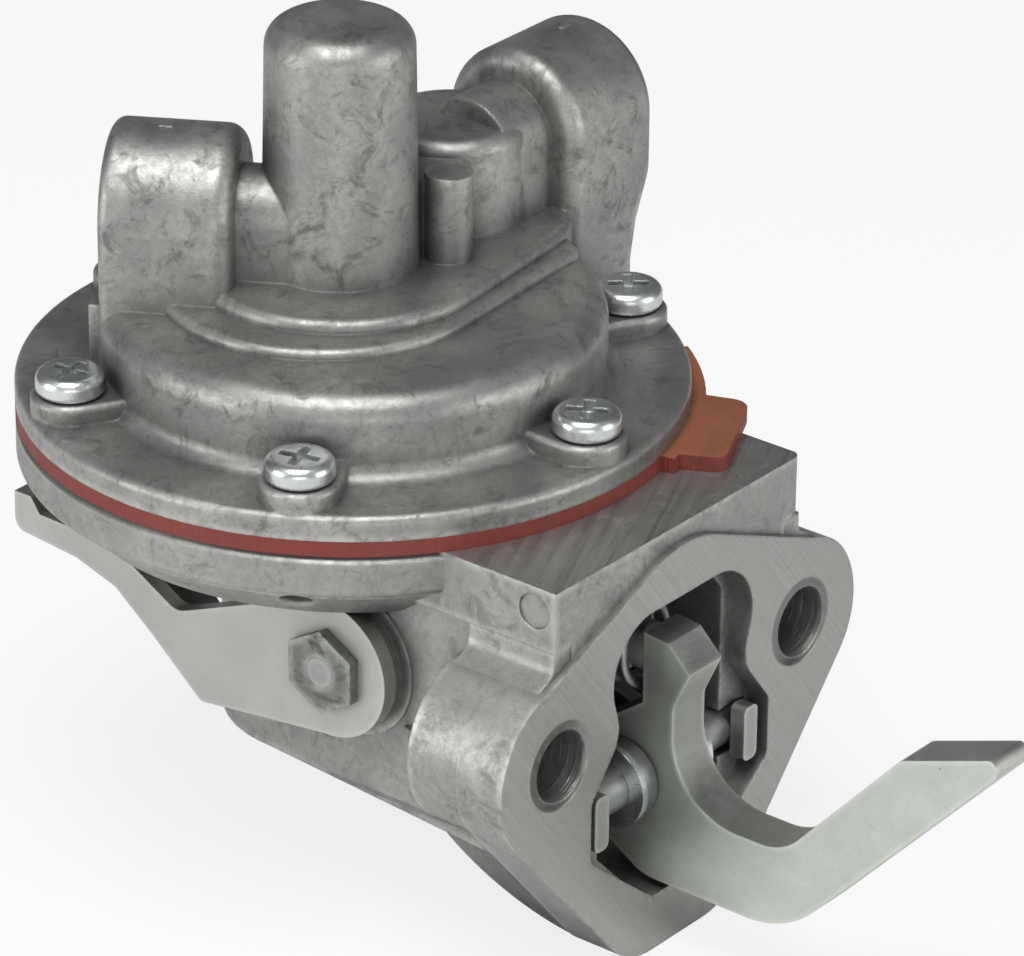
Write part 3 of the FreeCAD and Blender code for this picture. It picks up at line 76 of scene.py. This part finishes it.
class Shade:
    """One material's node tree with short calls for the nodes it uses."""

    def __init__(self, name):
        self.material = bpy.data.materials.new(name)
        self.material.use_nodes = True
        self.tree = self.material.node_tree
        self.tree.nodes.clear()
        self.out = self.tree.nodes.new("ShaderNodeOutputMaterial")
        self.skin = self.tree.nodes.new("ShaderNodeBsdfPrincipled")
        self.link(self.skin.outputs[0], self.out.inputs[0])
        self.place = self.tree.nodes.new("ShaderNodeTexCoord").outputs["Object"]
        self.geometry = self.tree.nodes.new("ShaderNodeNewGeometry")

    def link(self, source, target):
        self.tree.links.new(source, target)

    def feed(self, socket, value):
        if hasattr(value, "links"):
            self.link(value, socket)
        elif isinstance(value, (tuple, list)) and len(value) == 3 and socket.type == "RGBA":
            socket.default_value = (*value, 1.0)
        else:
            socket.default_value = value

    def set(self, **values):
        for key, value in values.items():
            self.feed(self.skin.inputs[key.replace("_", " ")], value)

    def math(self, operation, a, b=0.0, c=0.0, clamp=False):
        node = self.tree.nodes.new("ShaderNodeMath")
        node.operation = operation
        node.use_clamp = clamp
        for socket, value in zip(node.inputs, (a, b, c)):
            self.feed(socket, value)
        return node.outputs[0]

    def distance(self, a, b):
        """Length of the line whose two legs are a and b."""
        return self.math("SQRT", self.math("ADD", self.math("MULTIPLY", a, a), self.math("MULTIPLY", b, b)))

    def vector(self, operation, a, b=(0.0, 0.0, 0.0)):
        node = self.tree.nodes.new("ShaderNodeVectorMath")
        node.operation = operation
        self.feed(node.inputs[0], a)
        self.feed(node.inputs[1], b)
        return node.outputs["Value" if operation in ("DOT_PRODUCT", "LENGTH", "DISTANCE") else "Vector"]

    def split(self, vector):
        node = self.tree.nodes.new("ShaderNodeSeparateXYZ")
        self.link(vector, node.inputs[0])
        return node.outputs

    def turned(self, rotation=(0, 0, 0), scale=(1, 1, 1)):
        """Object coordinates turned by degrees, then stretched."""
        node = self.tree.nodes.new("ShaderNodeMapping")
        node.vector_type = "TEXTURE"
        self.link(self.place, node.inputs["Vector"])
        node.inputs["Rotation"].default_value = [math.radians(a) for a in rotation]
        node.inputs["Scale"].default_value = scale
        return node.outputs[0]

    def noise(self, size, detail=4.0, rough=0.55, place=None, distortion=0.0):
        """Noise whose features are about size metres across."""
        node = self.tree.nodes.new("ShaderNodeTexNoise")
        node.inputs["Scale"].default_value = 1.0 / size
        node.inputs["Detail"].default_value = detail
        node.inputs["Roughness"].default_value = rough
        node.inputs["Distortion"].default_value = distortion
        self.link(place if place is not None else self.place, node.inputs["Vector"])
        return node.outputs["Fac"]

    def pits(self, size):
        node = self.tree.nodes.new("ShaderNodeTexVoronoi")
        node.inputs["Scale"].default_value = 1.0 / size
        self.link(self.place, node.inputs["Vector"])
        return node.outputs["Distance"]

    def ease(self, value, low, high, start=0.0, end=1.0):
        """Smooth step from start to end as value goes from low to high."""
        node = self.tree.nodes.new("ShaderNodeMapRange")
        node.interpolation_type = "SMOOTHSTEP"
        self.feed(node.inputs["Value"], value)
        for key, number in zip(("From Min", "From Max", "To Min", "To Max"), (low, high, start, end)):
            node.inputs[key].default_value = number
        return node.outputs[0]

    def blend(self, factor, a, b):
        node = self.tree.nodes.new("ShaderNodeMix")
        node.data_type = "RGBA"
        self.feed(node.inputs["Factor"], factor)
        self.feed(node.inputs["A"], a)
        self.feed(node.inputs["B"], b)
        return node.outputs["Result"]

    def bump(self, height, depth, normal=None):
        """Bump of the given depth in metres."""
        node = self.tree.nodes.new("ShaderNodeBump")
        node.inputs["Strength"].default_value = 1.0
        node.inputs["Distance"].default_value = depth
        self.link(height, node.inputs["Height"])
        if normal is not None:
            self.link(normal, node.inputs["Normal"])
        return node.outputs[0]

    def soft_edges(self, radius):
        node = self.tree.nodes.new("ShaderNodeBevel")
        node.samples = RAYS
        node.inputs["Radius"].default_value = radius
        return node.outputs[0]

    def openness(self, reach, inside=False):
        """1 in the open, falling to 0 in crevices, or near outer edges when measured inside."""
        node = self.tree.nodes.new("ShaderNodeAmbientOcclusion")
        node.samples = RAYS
        node.inside = inside
        node.only_local = inside
        node.inputs["Distance"].default_value = reach
        return node.outputs["AO"]

    def facing(self, direction, low=0.97, high=0.995):
        """1 where the surface looks along a direction of the frame."""
        toward = self.vector("DOT_PRODUCT", self.object_normal(), direction)
        return self.ease(toward, low, high)

    def object_normal(self):
        node = self.tree.nodes.new("ShaderNodeVectorTransform")
        node.vector_type = "NORMAL"
        node.convert_from = "WORLD"
        node.convert_to = "OBJECT"
        self.link(self.geometry.outputs["True Normal"], node.inputs[0])
        return node.outputs[0]


def cast_metal(name, light, mid, dark, smudge=0.6, machined=False):
    """Die cast aluminium: mottled skin, dark smudges, bright worn edges, painted shade in the corners."""
    s = Shade(name)
    cloud = s.ease(s.noise(11 * MM, 5, 0.6), 0.36, 0.66)
    smear = s.ease(s.noise(4.2 * MM, 8, 0.74, distortion=0.9), 0.5, 0.66)
    wisp = s.ease(s.noise(1.5 * MM, 6, 0.72, s.turned((20, 10, 35), (3.2, 1, 1)), 0.7), 0.55, 0.72)
    mottle = s.noise(1.1 * MM, 7, 0.78)
    speck = s.ease(s.noise(0.5 * MM, 3, 0.7), 0.56, 0.78)
    colour = s.blend(cloud, mid, light)
    colour = s.blend(s.ease(mottle, 0.36, 0.64, 0.5, 1.0), tuple(c * 0.80 for c in mid), colour)
    colour = s.blend(s.math("MULTIPLY", smear, smudge), colour, dark)
    colour = s.blend(s.math("MULTIPLY", wisp, smudge * 0.8), colour, dark)
    colour = s.blend(s.math("MULTIPLY", speck, 0.3), colour, dark)
    edge = s.ease(s.openness(1.1 * MM, True), 0.42, 0.9, 1.0, 0.0)
    worn = s.math("MULTIPLY", edge, s.ease(s.noise(2.2 * MM, 4, 0.6), 0.3, 0.58), clamp=True)
    bright = tuple(min(1.0, c * 1.4 + 0.05) for c in light)
    colour = s.blend(s.math("MULTIPLY", worn, 0.8), colour, bright)
    # painted shade: corners and crevices darkened towards the dark tone where little light reaches
    corner = s.ease(s.openness(5 * MM), 0.25, 0.85, 0.62, 0.0)
    colour = s.blend(corner, colour, tuple(c * 0.45 for c in dark))
    rough = s.math("ADD", s.math("MULTIPLY", cloud, 0.08), 0.40)
    rough = s.math("ADD", rough, s.math("MULTIPLY", smear, 0.12))
    rough = s.math("ADD", rough, s.ease(mottle, 0.35, 0.65, 0.06, -0.06))
    rough = s.math("SUBTRACT", rough, s.math("MULTIPLY", worn, 0.12))
    normal = s.soft_edges(0.45 * MM)
    normal = s.bump(s.noise(4.5 * MM, 3, 0.5), 0.06 * MM, normal)
    normal = s.bump(s.noise(0.38 * MM, 5, 0.7), 0.04 * MM, normal)
    if machined:
        spot = s.split(s.place)
        face = s.math("MULTIPLY", s.facing((0, -1, 0)), s.math("LESS_THAN", spot[1], 0.3 * MM))
        cuts = s.noise(0.36 * MM, 5, 0.72, s.turned((0, -38, 0), (1, 1, 90)))
        scores = s.noise(1.6 * MM, 3, 0.6, s.turned((0, -38, 0), (1, 1, 60)))
        tone = s.blend(cuts, tuple(c * 0.62 for c in light), tuple(min(1, c * 1.18) for c in light))
        tone = s.blend(s.math("MULTIPLY", s.ease(scores, 0.55, 0.75), 0.3), tone, mid)
        colour = s.blend(face, colour, tone)
        top = s.math("MULTIPLY", s.facing((0, 0, 1)),
                     s.math("GREATER_THAN", spot[2], PLATFORM_Z - 0.1 * MM))
        mill = s.noise(0.6 * MM, 4, 0.7, s.turned((0, 0, 24), (60, 1, 1)))
        streaks = s.ease(s.noise(1.3 * MM, 5, 0.7, s.turned((0, 0, 24), (26, 1, 1))), 0.45, 0.68)
        tone = s.blend(mill, tuple(c * 0.66 for c in light), tuple(min(1, c * 1.15) for c in light))
        tone = s.blend(s.math("MULTIPLY", streaks, 0.55), tone, tuple(c * 1.3 for c in dark))
        colour = s.blend(top, colour, tone)
        flat = s.math("MAXIMUM", face, top)
        rough = s.math("SUBTRACT", rough, s.math("MULTIPLY", flat, 0.08))
        height = s.math("ADD", s.math("MULTIPLY", cuts, face), s.math("MULTIPLY", mill, top))
        normal = s.bump(height, 0.05 * MM, normal)
        # small cone at the mouth of each mounting hole, a painted shade ring at its outer edge, and drill
        # rings down its wall
        side = s.math("SUBTRACT", s.math("ABSOLUTE", spot[0]), HOLE_X)
        radius = s.distance(side, spot[2])
        cone = s.math("MULTIPLY", s.ease(radius, HOLE_RADIUS, HOLE_RADIUS + 1.2 * MM), face)
        # painted shade: dark ring along the outer edge of the cone
        lip_shade_ring = s.math("MULTIPLY", face,
                     s.ease(radius, HOLE_RADIUS + 1.0 * MM, HOLE_RADIUS + 1.3 * MM, 1.0, 0.0))
        colour = s.blend(s.math("MULTIPLY", lip_shade_ring, 0.7), colour, tuple(c * 0.5 for c in light))
        normal = s.bump(cone, 0.9 * MM, normal)
        bore = s.math("MULTIPLY", s.math("LESS_THAN", radius, HOLE_RADIUS + 0.05 * MM),
                      s.math("LESS_THAN", spot[1], HOLE_END_Y))
        rings = s.noise(0.7 * MM, 4, 0.6, s.turned((0, 0, 0), (14, 1, 14)))
        normal = s.bump(s.math("MULTIPLY", rings, bore), 0.22 * MM, normal)
    s.set(Base_Color=colour, Roughness=rough, Metallic=0.82, Normal=normal)
    return s.material


def plated(name, light, dark, roughness=0.3, grain=0.3, metallic=0.9, stain=0.3, edge_wear_and_highlight=0.5,
           sheared=None, oiled=None, darkening=0.55):
    """Zinc plated or plain steel: fine drawn grain, faint stains, worn edges with a painted highlight,
    painted shade in the corners.

    sheared gives the tone of the cut edges of a plate whose broad sides look along X.
    oiled gives Y, Z and the two radii between which a dark film round an axis along X fades out.
    """
    s = Shade(name)
    cloud = s.ease(s.noise(6 * MM, 5, 0.62), 0.35, 0.68)
    fine = s.noise(0.5 * MM, 4, 0.7)
    colour = s.blend(cloud, tuple(0.75 * a + 0.25 * b for a, b in zip(light, dark)), light)
    rough = s.math("ADD", s.math("MULTIPLY", cloud, 0.12), roughness)
    metal = metallic
    normal = s.soft_edges(0.25 * MM)
    if sheared:
        across = s.math("ABSOLUTE", s.split(s.object_normal())[0])
        rim = s.ease(across, 0.5, 0.85, 1.0, 0.0)
        lines = s.noise(0.35 * MM, 4, 0.65, s.turned((0, 0, 0), (12, 1, 1)))
        bare = s.blend(lines, tuple(c * 0.72 for c in sheared), sheared)
        colour = s.blend(rim, colour, bare)
        rough = s.math("SUBTRACT", rough, s.math("MULTIPLY", rim, 0.1))
        metal = s.math("ADD", s.math("MULTIPLY", rim, 0.95 - metallic), metallic)
        normal = s.bump(s.math("MULTIPLY", lines, rim), 0.03 * MM, normal)
    stains = s.ease(s.noise(2.6 * MM, 6, 0.7, distortion=0.8), 0.55, 0.75)
    colour = s.blend(s.math("MULTIPLY", stains, stain), colour, dark)
    colour = s.blend(s.math("MULTIPLY", s.ease(fine, 0.5, 0.75), grain), colour, dark)
    specks = s.ease(s.pits(2.6 * MM), 0.02, 0.09, 1.0, 0.0)
    specks = s.math("MULTIPLY", specks, s.ease(s.noise(3.1 * MM, 2, 0.5), 0.5, 0.62))
    colour = s.blend(s.math("MULTIPLY", specks, 0.75), colour, tuple(c * 0.3 for c in dark))
    if oiled:
        spot = s.split(s.place)
        dy = s.math("SUBTRACT", spot[1], oiled[0])
        dz = s.math("SUBTRACT", spot[2], oiled[1])
        reach = s.math("ADD", s.distance(dy, dz), s.math("MULTIPLY", s.noise(7 * MM, 5, 0.65), 9 * MM))
        film = s.ease(reach, oiled[2] + 4.5 * MM, oiled[3] + 4.5 * MM, 0.62, 0.0)
        colour = s.blend(film, colour, tuple(c * 0.55 for c in dark))
    # worn plating and painted highlight: every outer edge lightened towards a brighter tone
    edge = s.ease(s.openness(0.7 * MM, True), 0.4, 0.9, 1.0, 0.0)
    rubbed_and_highlight = tuple(min(1, c * 1.2 + 0.05) for c in light)
    colour = s.blend(s.math("MULTIPLY", edge, edge_wear_and_highlight), colour, rubbed_and_highlight)
    # painted shade: corners and crevices darkened where little light reaches
    corner = s.ease(s.openness(3 * MM), 0.2, 0.8, darkening, 0.0)
    colour = s.blend(corner, colour, tuple(c * 0.4 for c in dark))
    normal = s.bump(fine, 0.012 * MM, normal)
    normal = s.bump(s.noise(3.2 * MM, 3, 0.5), 0.03 * MM, normal)
    s.set(Base_Color=colour, Roughness=rough, Metallic=metal, Normal=normal)
    return s.material


def rubber_sheet(name, edge_colour, top_colour, dark):
    """Rubberised fabric: brick red cut edge with layers of cloth, browner woven top."""
    s = Shade(name)
    spot = s.split(s.place)
    top = s.facing((0, 0, 1), 0.6, 0.9)
    layers = s.noise(0.35 * MM, 3, 0.6, s.turned((0, 0, 0), (24, 24, 1)))
    threads = 2 * math.pi / (0.55 * MM)
    weave = s.math("MULTIPLY", *(s.math("SINE", s.math("MULTIPLY", spot[k], threads)) for k in (0, 1)))
    cloud = s.ease(s.noise(7 * MM, 5, 0.6), 0.35, 0.65)
    colour = s.blend(layers, edge_colour, tuple(c * 0.72 for c in edge_colour))
    upper = s.blend(cloud, top_colour, tuple(c * 0.8 for c in top_colour))
    colour = s.blend(top, colour, upper)
    darkening = s.ease(s.noise(3 * MM, 5, 0.7), 0.55, 0.8, 0.0, 0.5)
    colour = s.blend(darkening, colour, dark)
    normal = s.soft_edges(0.2 * MM)
    normal = s.bump(layers, 0.06 * MM, normal)
    normal = s.bump(weave, 0.02 * MM, normal)
    rough = s.math("ADD", s.math("MULTIPLY", cloud, 0.15), 0.52)
    s.set(Base_Color=colour, Roughness=rough, Normal=normal)
    return s.material


def plain(name, light, dark, roughness, size=1.5 * MM):
    s = Shade(name)
    cloud = s.ease(s.noise(size, 5, 0.6), 0.35, 0.7)
    normal = s.bump(s.noise(size * 0.2, 3, 0.6), 0.02 * MM)
    s.set(Base_Color=s.blend(cloud, light, dark), Normal=normal,
          Roughness=s.math("ADD", s.math("MULTIPLY", cloud, 0.12), roughness))
    return s.material


cover_metal = cast_metal("cover_cast", (0.43, 0.425, 0.41), (0.31, 0.307, 0.298),
                         (0.095, 0.094, 0.09), 0.62)
body_metal = cast_metal("body_cast", (0.43, 0.434, 0.415), (0.34, 0.344, 0.328),
                        (0.13, 0.131, 0.124), 0.45, machined=True)
collar_zinc = cast_metal("collar_zinc", (0.33, 0.345, 0.32), (0.185, 0.192, 0.178),
                         (0.05, 0.052, 0.047), 0.8)
lever_zinc = plated("lever_zinc", (0.47, 0.485, 0.445), (0.31, 0.325, 0.295), 0.42, 0.2, 0.55, 0.22, 0.5,
                    sheared=(0.58, 0.59, 0.56))
arm_zinc = plated("arm_zinc", (0.55, 0.585, 0.53), (0.29, 0.31, 0.28), 0.44, 0.3, 0.5, 0.3, 0.6,
                  sheared=(0.66, 0.67, 0.64), oiled=(PIN_Y, PIN_Z + 5 * MM, 8 * MM, 18 * MM))
# painted shade in the screws' corners kept faint
screw_zinc = plated("screw_zinc", (0.74, 0.77, 0.76), (0.34, 0.36, 0.35), 0.2, 0.2, 0.95, 0.35, 0.5,
                    darkening=0.05)
dark_steel = plated("dark_steel", (0.40, 0.41, 0.40), (0.14, 0.14, 0.14), 0.32, 0.3, 0.9, 0.5, 0.6)
staked_steel = plated("staked_steel", (0.44, 0.45, 0.43), (0.2, 0.2, 0.19), 0.42, 0.3, 0.8, 0.35, 0.9)
wire_steel = plated("wire_steel", (0.36, 0.36, 0.37), (0.12, 0.12, 0.13), 0.28, 0.2, 0.9, 0.4, 0.4)
sheet_red = rubber_sheet("diaphragm_red", (0.215, 0.034, 0.025), (0.27, 0.092, 0.045), (0.08, 0.025, 0.016))
seal_black = plain("seal_black", (0.035, 0.035, 0.035), (0.02, 0.02, 0.02), 0.5)
valve_black = plain("valve_black", (0.10, 0.10, 0.10), (0.06, 0.06, 0.06), 0.4)
gasket_brown = plain("gasket_brown", (0.22, 0.15, 0.10), (0.13, 0.09, 0.06), 0.7)

FINISH = {
    "upper_body": cover_metal, "lower_body": body_metal, "cover_screws": screw_zinc, "diaphragm": sheet_red,
    "priming_lever": lever_zinc, "rocker_arm": arm_zinc, "shaft_collars": collar_zinc,
    "primer_shaft": dark_steel, "rocker_pin": dark_steel, "rocker_washers": screw_zinc,
    "pin_retainers": staked_steel, "link_lever": dark_steel, "pull_rod": dark_steel,
    "diaphragm_upper_plate": dark_steel, "diaphragm_lower_plate": dark_steel, "seal_retainer": dark_steel,
    "outlet_valve_seat": dark_steel, "inlet_valve_seat": dark_steel, "outlet_valve_cap": dark_steel,
    "inlet_valve_cap": dark_steel, "diaphragm_spring": wire_steel, "rocker_spring": wire_steel,
    "primer_spring": wire_steel, "outlet_valve_spring": wire_steel, "inlet_valve_spring": wire_steel,
    "oil_seal": seal_black, "outlet_valve_disc": valve_black, "inlet_valve_disc": valve_black,
    "valve_gaskets": gasket_brown}
for node, material in FINISH.items():
    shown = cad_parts[node]
    shown.data.materials.clear()
    shown.data.materials.append(material)


def casting_piece(name, rings, closed=False, smooth=CAST_FACET):
    """Solid skin through equal rings of points (mm), capped at both ends or closed on itself."""
    mesh = bmesh.new()
    rows = [[mesh.verts.new([c * MM for c in point]) for point in ring] for ring in rings]
    pairs = list(zip(rows, rows[1:]))
    if closed:
        pairs.append((rows[-1], rows[0]))
    for first, second in pairs:
        for k in range(len(first)):
            m = (k + 1) % len(first)
            mesh.faces.new((first[k], first[m], second[m], second[k]))
    if not closed:
        mesh.faces.new(rows[0])
        mesh.faces.new(rows[-1])
    bmesh.ops.recalc_face_normals(mesh, faces=mesh.faces)
    data = bpy.data.meshes.new(name)
    mesh.to_mesh(data)
    mesh.free()
    data.polygons.foreach_set("use_smooth", [True] * len(data.polygons))
    data.set_sharp_from_angle(angle=math.radians(smooth))
    item = bpy.data.objects.new(name, data)
    bpy.context.scene.collection.objects.link(item)
    return item


def settle(item):
    """Keep what the modifiers make as the piece's own mesh."""
    view_layer = bpy.context.view_layer
    view_layer.update()
    made = bpy.data.meshes.new_from_object(item.evaluated_get(view_layer.depsgraph))
    item.modifiers.clear()
    item.data = made


def dress(item, material):
    item.data.materials.clear()
    item.data.materials.append(material)
    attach(item, "housing")


def bowl_skirt():
    """Conical skirt of the bowl under the rim, with the mouth of the air vent in it."""
    profile = [(22.6, 15.9), (37.9, 15.9), (37.6, 15.4), (33.2, 11.3), (32.5, 10.9), (31.9, 11.0),
               (31.2, 12.0), (22.6, 12.0)]
    rings = []
    for k in range(144):
        angle = 2 * math.pi * k / 144
        rings.append([(r * math.cos(angle), AXIS_Y_MM + r * math.sin(angle), z) for r, z in profile])
    skirt = casting_piece("bowl_skirt", rings, True)
    angle = math.radians(-150.0)
    slope = Vector((math.cos(angle) * 0.68, math.sin(angle) * 0.68, -0.73)).normalized()
    middle = Vector((36.2 * math.cos(angle), AXIS_Y_MM + 36.2 * math.sin(angle), 14.1))
    across = slope.orthogonal().normalized()
    other = slope.cross(across)
    drill = []
    for depth, radius in ((-1.9, 1.75), (-0.3, 1.75), (0.9, 2.9)):
        drill.append([middle + slope * depth + across * radius * math.cos(math.pi * k / 16) +
                      other * radius * math.sin(math.pi * k / 16) for k in range(32)])
    cutter = casting_piece("vent_cutter", drill)
    cut = skirt.modifiers.new("vent", "BOOLEAN")
    cut.operation = "DIFFERENCE"
    cut.object = cutter
    settle(skirt)
    bpy.data.objects.remove(cutter, do_unlink=True)
    skirt.data.set_sharp_from_angle(angle=math.radians(CAST_FACET))
    dress(skirt, body_metal)


def port_mark(name, x, y, z, turn):
    """Small flat left by a die pin on the crown of a port."""
    outline = ((-1, -0.6), (-0.8, -1), (0.8, -1), (1, -0.6), (1, 0.6), (0.8, 1), (-0.8, 1), (-1, 0.6))
    across = Vector((math.cos(turn), math.sin(turn), 0.0))
    along = Vector((-math.sin(turn), math.cos(turn), 0.0))
    rings = []
    for rise, shrink in ((-0.3, 0.0), (0.06, 0.0), (0.1, 0.12)):
        rings.append([Vector((x, y, z + rise)) + across * a * (0.95 - shrink) + along * b * (0.42 - shrink)
                      for a, b in outline])
    dress(casting_piece(name, rings), cover_metal)


def boss_neck(side):
    """Web that joins a mounting boss to the foot of the platform above it."""
    shape = [(22.45, 13.8), (22.5, 12.1), (22.75, 11.4), (23.3, 10.85), (24.2, 10.35), (25.6, 9.65),
             (28.2, 8.35), (22.0, 5.0), (17.0, 6.0), (17.0, 13.8)]
    rings = [[(side * x, y, z) for x, z in shape] for y in (0.9, 12.9)]
    neck = casting_piece("boss_neck_" + SIDES[side], rings, smooth=50.0)
    dress(neck, body_metal)


def box_cheek(side):
    """Outer wall of the link box on one side, which stands just inside the priming lever."""
    root = 14.6
    full, faded = (1.6, 2.7, 2.9), (0.4, 0.8, 1.0)
    stations = [(7.2, 21.7, -13.0, 15.85, full), (34.5, 21.7, -13.0, 15.85, full),
                (41.0, 19.4, -12.0, 9.5, faded), (47.4, 15.7, -10.8, 5.0, faded)]
    rings = []
    for y, x, low, top, foot in stations:
        rings.append([(side * max(root, x - 2.2), y, top), (side * x, y, top), (side * x, y, low),
                      (side * (x - 1.4), y, low - foot[0]), (side * min(17.4, x - 1.0), y, low - foot[1]),
                      (side * root, y, low - foot[2])])
    cheek = casting_piece("box_cheek_" + SIDES[side], rings)
    soft = cheek.modifiers.new("soft", "BEVEL")
    soft.width = 0.7 * MM
    soft.segments = 3
    soft.limit_method = "ANGLE"
    soft.angle_limit = math.radians(24)
    settle(cheek)
    cheek.data.set_sharp_from_angle(angle=math.radians(CAST_FACET))
    dress(cheek, body_metal)


def gusset(side):
    """Small web behind a mounting boss, with a level top and a face that leans back to the wall."""
    root = 21.2
    wedge = [[(side * 22.9, y, -2.9), (side * (22.0 + lean), y, -3.1 - drop),
              (side * root, y, -3.2 - drop * 1.1), (side * root, y, -2.9)]
             for y, lean, drop in ((11.0, 0.0, 6.4), (16.0, 0.1, 3.9), (20.6, 0.2, 1.6))]
    wedge.append([(side * 22.0, 22.6, -2.95), (side * 21.8, 22.6, -3.2), (side * root, 22.6, -3.3),
                  (side * root, 22.6, -2.95)])
    web = casting_piece("gusset_" + SIDES[side], wedge, smooth=30.0)
    dress(web, body_metal)


def camera():
    """Camera at the photograph's place; gives its right and back directions."""
    azimuth = math.radians(CAMERA_AZIMUTH)
    elevation = math.radians(CAMERA_ELEVATION)
    roll = math.radians(CAMERA_ROLL)
    back = Vector((math.sin(azimuth) * math.cos(elevation), -math.cos(azimuth) * math.cos(elevation),
                   math.sin(elevation)))
    level = Vector((math.cos(azimuth), math.sin(azimuth), 0.0))
    rise = back.cross(level)
    right = level * math.cos(roll) + rise * math.sin(roll)
    up = rise * math.cos(roll) - level * math.sin(roll)
    data = bpy.data.cameras.new("photo_camera")
    data.sensor_width = SENSOR
    data.sensor_fit = "HORIZONTAL"
    data.lens = CAMERA_FOCUS_PX * SENSOR / FRAME_WIDTH_PX
    data.clip_start = 0.05
    data.clip_end = 20.0
    item = bpy.data.objects.new("photo_camera", data)
    item.matrix_world = Matrix.Translation(CAMERA_PLACE) @ Matrix((right, up, back)).transposed().to_4x4()
    bpy.context.scene.collection.objects.link(item)
    bpy.context.scene.camera = item
    return right, back


def lamp(name, place, target, width, height, power):
    data = bpy.data.lights.new(name, "AREA")
    data.shape = "RECTANGLE"
    data.size = width
    data.size_y = height
    data.energy = power
    item = bpy.data.objects.new(name, data)
    item.location = place
    item.rotation_mode = "QUATERNION"
    item.rotation_quaternion = (Vector(place) - Vector(target)).to_track_quat("Z", "Y")
    bpy.context.scene.collection.objects.link(item)


def studio(right, back):
    """White floor, light tent and four soft lamps round the part."""
    middle = (cad_low + cad_high) / 2
    floor_level = cad_low.z - 0.1 * MM
    bpy.ops.mesh.primitive_plane_add(size=8.0, location=(0, 0, floor_level))
    floor = bpy.context.object
    floor.name = "floor"
    material = bpy.data.materials.new("floor_white")
    material.use_nodes = True
    tree = material.node_tree
    skin = tree.nodes["Principled BSDF"]
    skin.inputs["Base Color"].default_value = (0.8, 0.8, 0.8, 1)
    skin.inputs["Roughness"].default_value = 0.9
    glow = tree.nodes.new("ShaderNodeEmission")
    path = tree.nodes.new("ShaderNodeLightPath")
    share = tree.nodes.new("ShaderNodeMath")
    share.operation = "MULTIPLY"
    share.inputs[1].default_value = 0.82
    mixer = tree.nodes.new("ShaderNodeMixShader")
    tree.links.new(path.outputs["Is Camera Ray"], share.inputs[0])
    tree.links.new(share.outputs[0], mixer.inputs[0])
    tree.links.new(skin.outputs[0], mixer.inputs[1])
    tree.links.new(glow.outputs[0], mixer.inputs[2])
    tree.links.new(mixer.outputs[0], tree.nodes["Material Output"].inputs[0])
    floor.data.materials.append(material)

    world = bpy.data.worlds.new("studio")
    world.use_nodes = True
    bpy.context.scene.world = world
    tree = world.node_tree
    ground = tree.nodes["Background"]
    place = tree.nodes.new("ShaderNodeTexCoord")
    ahead = Vector((back.x, back.y, 0.0)).normalized()
    toward = tree.nodes.new("ShaderNodeVectorMath")
    toward.operation = "DOT_PRODUCT"
    toward.inputs[1].default_value = ahead
    tree.links.new(place.outputs["Generated"], toward.inputs[0])
    tent = tree.nodes.new("ShaderNodeMapRange")
    tent.interpolation_type = "SMOOTHSTEP"
    for key, number in zip(("From Min", "From Max", "To Min", "To Max"), TENT):
        tent.inputs[key].default_value = number
    tree.links.new(toward.outputs["Value"], tent.inputs["Value"])
    tree.links.new(tent.outputs[0], ground.inputs["Strength"])
    ground.inputs["Color"].default_value = (0.98, 1.0, 1.0, 1.0)
    white = tree.nodes.new("ShaderNodeBackground")
    white.inputs["Strength"].default_value = 1.0
    path = tree.nodes.new("ShaderNodeLightPath")
    mixer = tree.nodes.new("ShaderNodeMixShader")
    tree.links.new(path.outputs["Is Camera Ray"], mixer.inputs[0])
    tree.links.new(ground.outputs[0], mixer.inputs[1])
    tree.links.new(white.outputs[0], mixer.inputs[2])
    tree.links.new(mixer.outputs[0], tree.nodes["World Output"].inputs[0])

    top = Vector((0.0, 0.0, 1.0))
    lamp("overhead", middle + top * 0.7 + ahead * 0.22 - right * 0.08, middle, 0.42, 0.42, 4.2)
    lamp("left", middle - right * 0.7 + ahead * 0.30 + top * 0.16, middle, 0.35, 0.5, 2.2)
    lamp("right", middle + right * 0.7 + ahead * 0.26 + top * 0.12, middle, 0.35, 0.5, 2.0)
    lamp("front", middle + ahead * 0.85 - top * 0.02, middle, 0.6, 0.3, 1.5)


bowl_skirt()
port_mark("port_mark_outlet", -11.2, 66.9, 54.6, math.radians(121.0))
port_mark("port_mark_inlet", 38.6, 48.5, 55.9, 0.0)
for half in SIDES:
    box_cheek(half)
    boss_neck(half)
    gusset(half)
bpy.context.scene.view_settings.view_transform = "Standard"
studio(*camera())
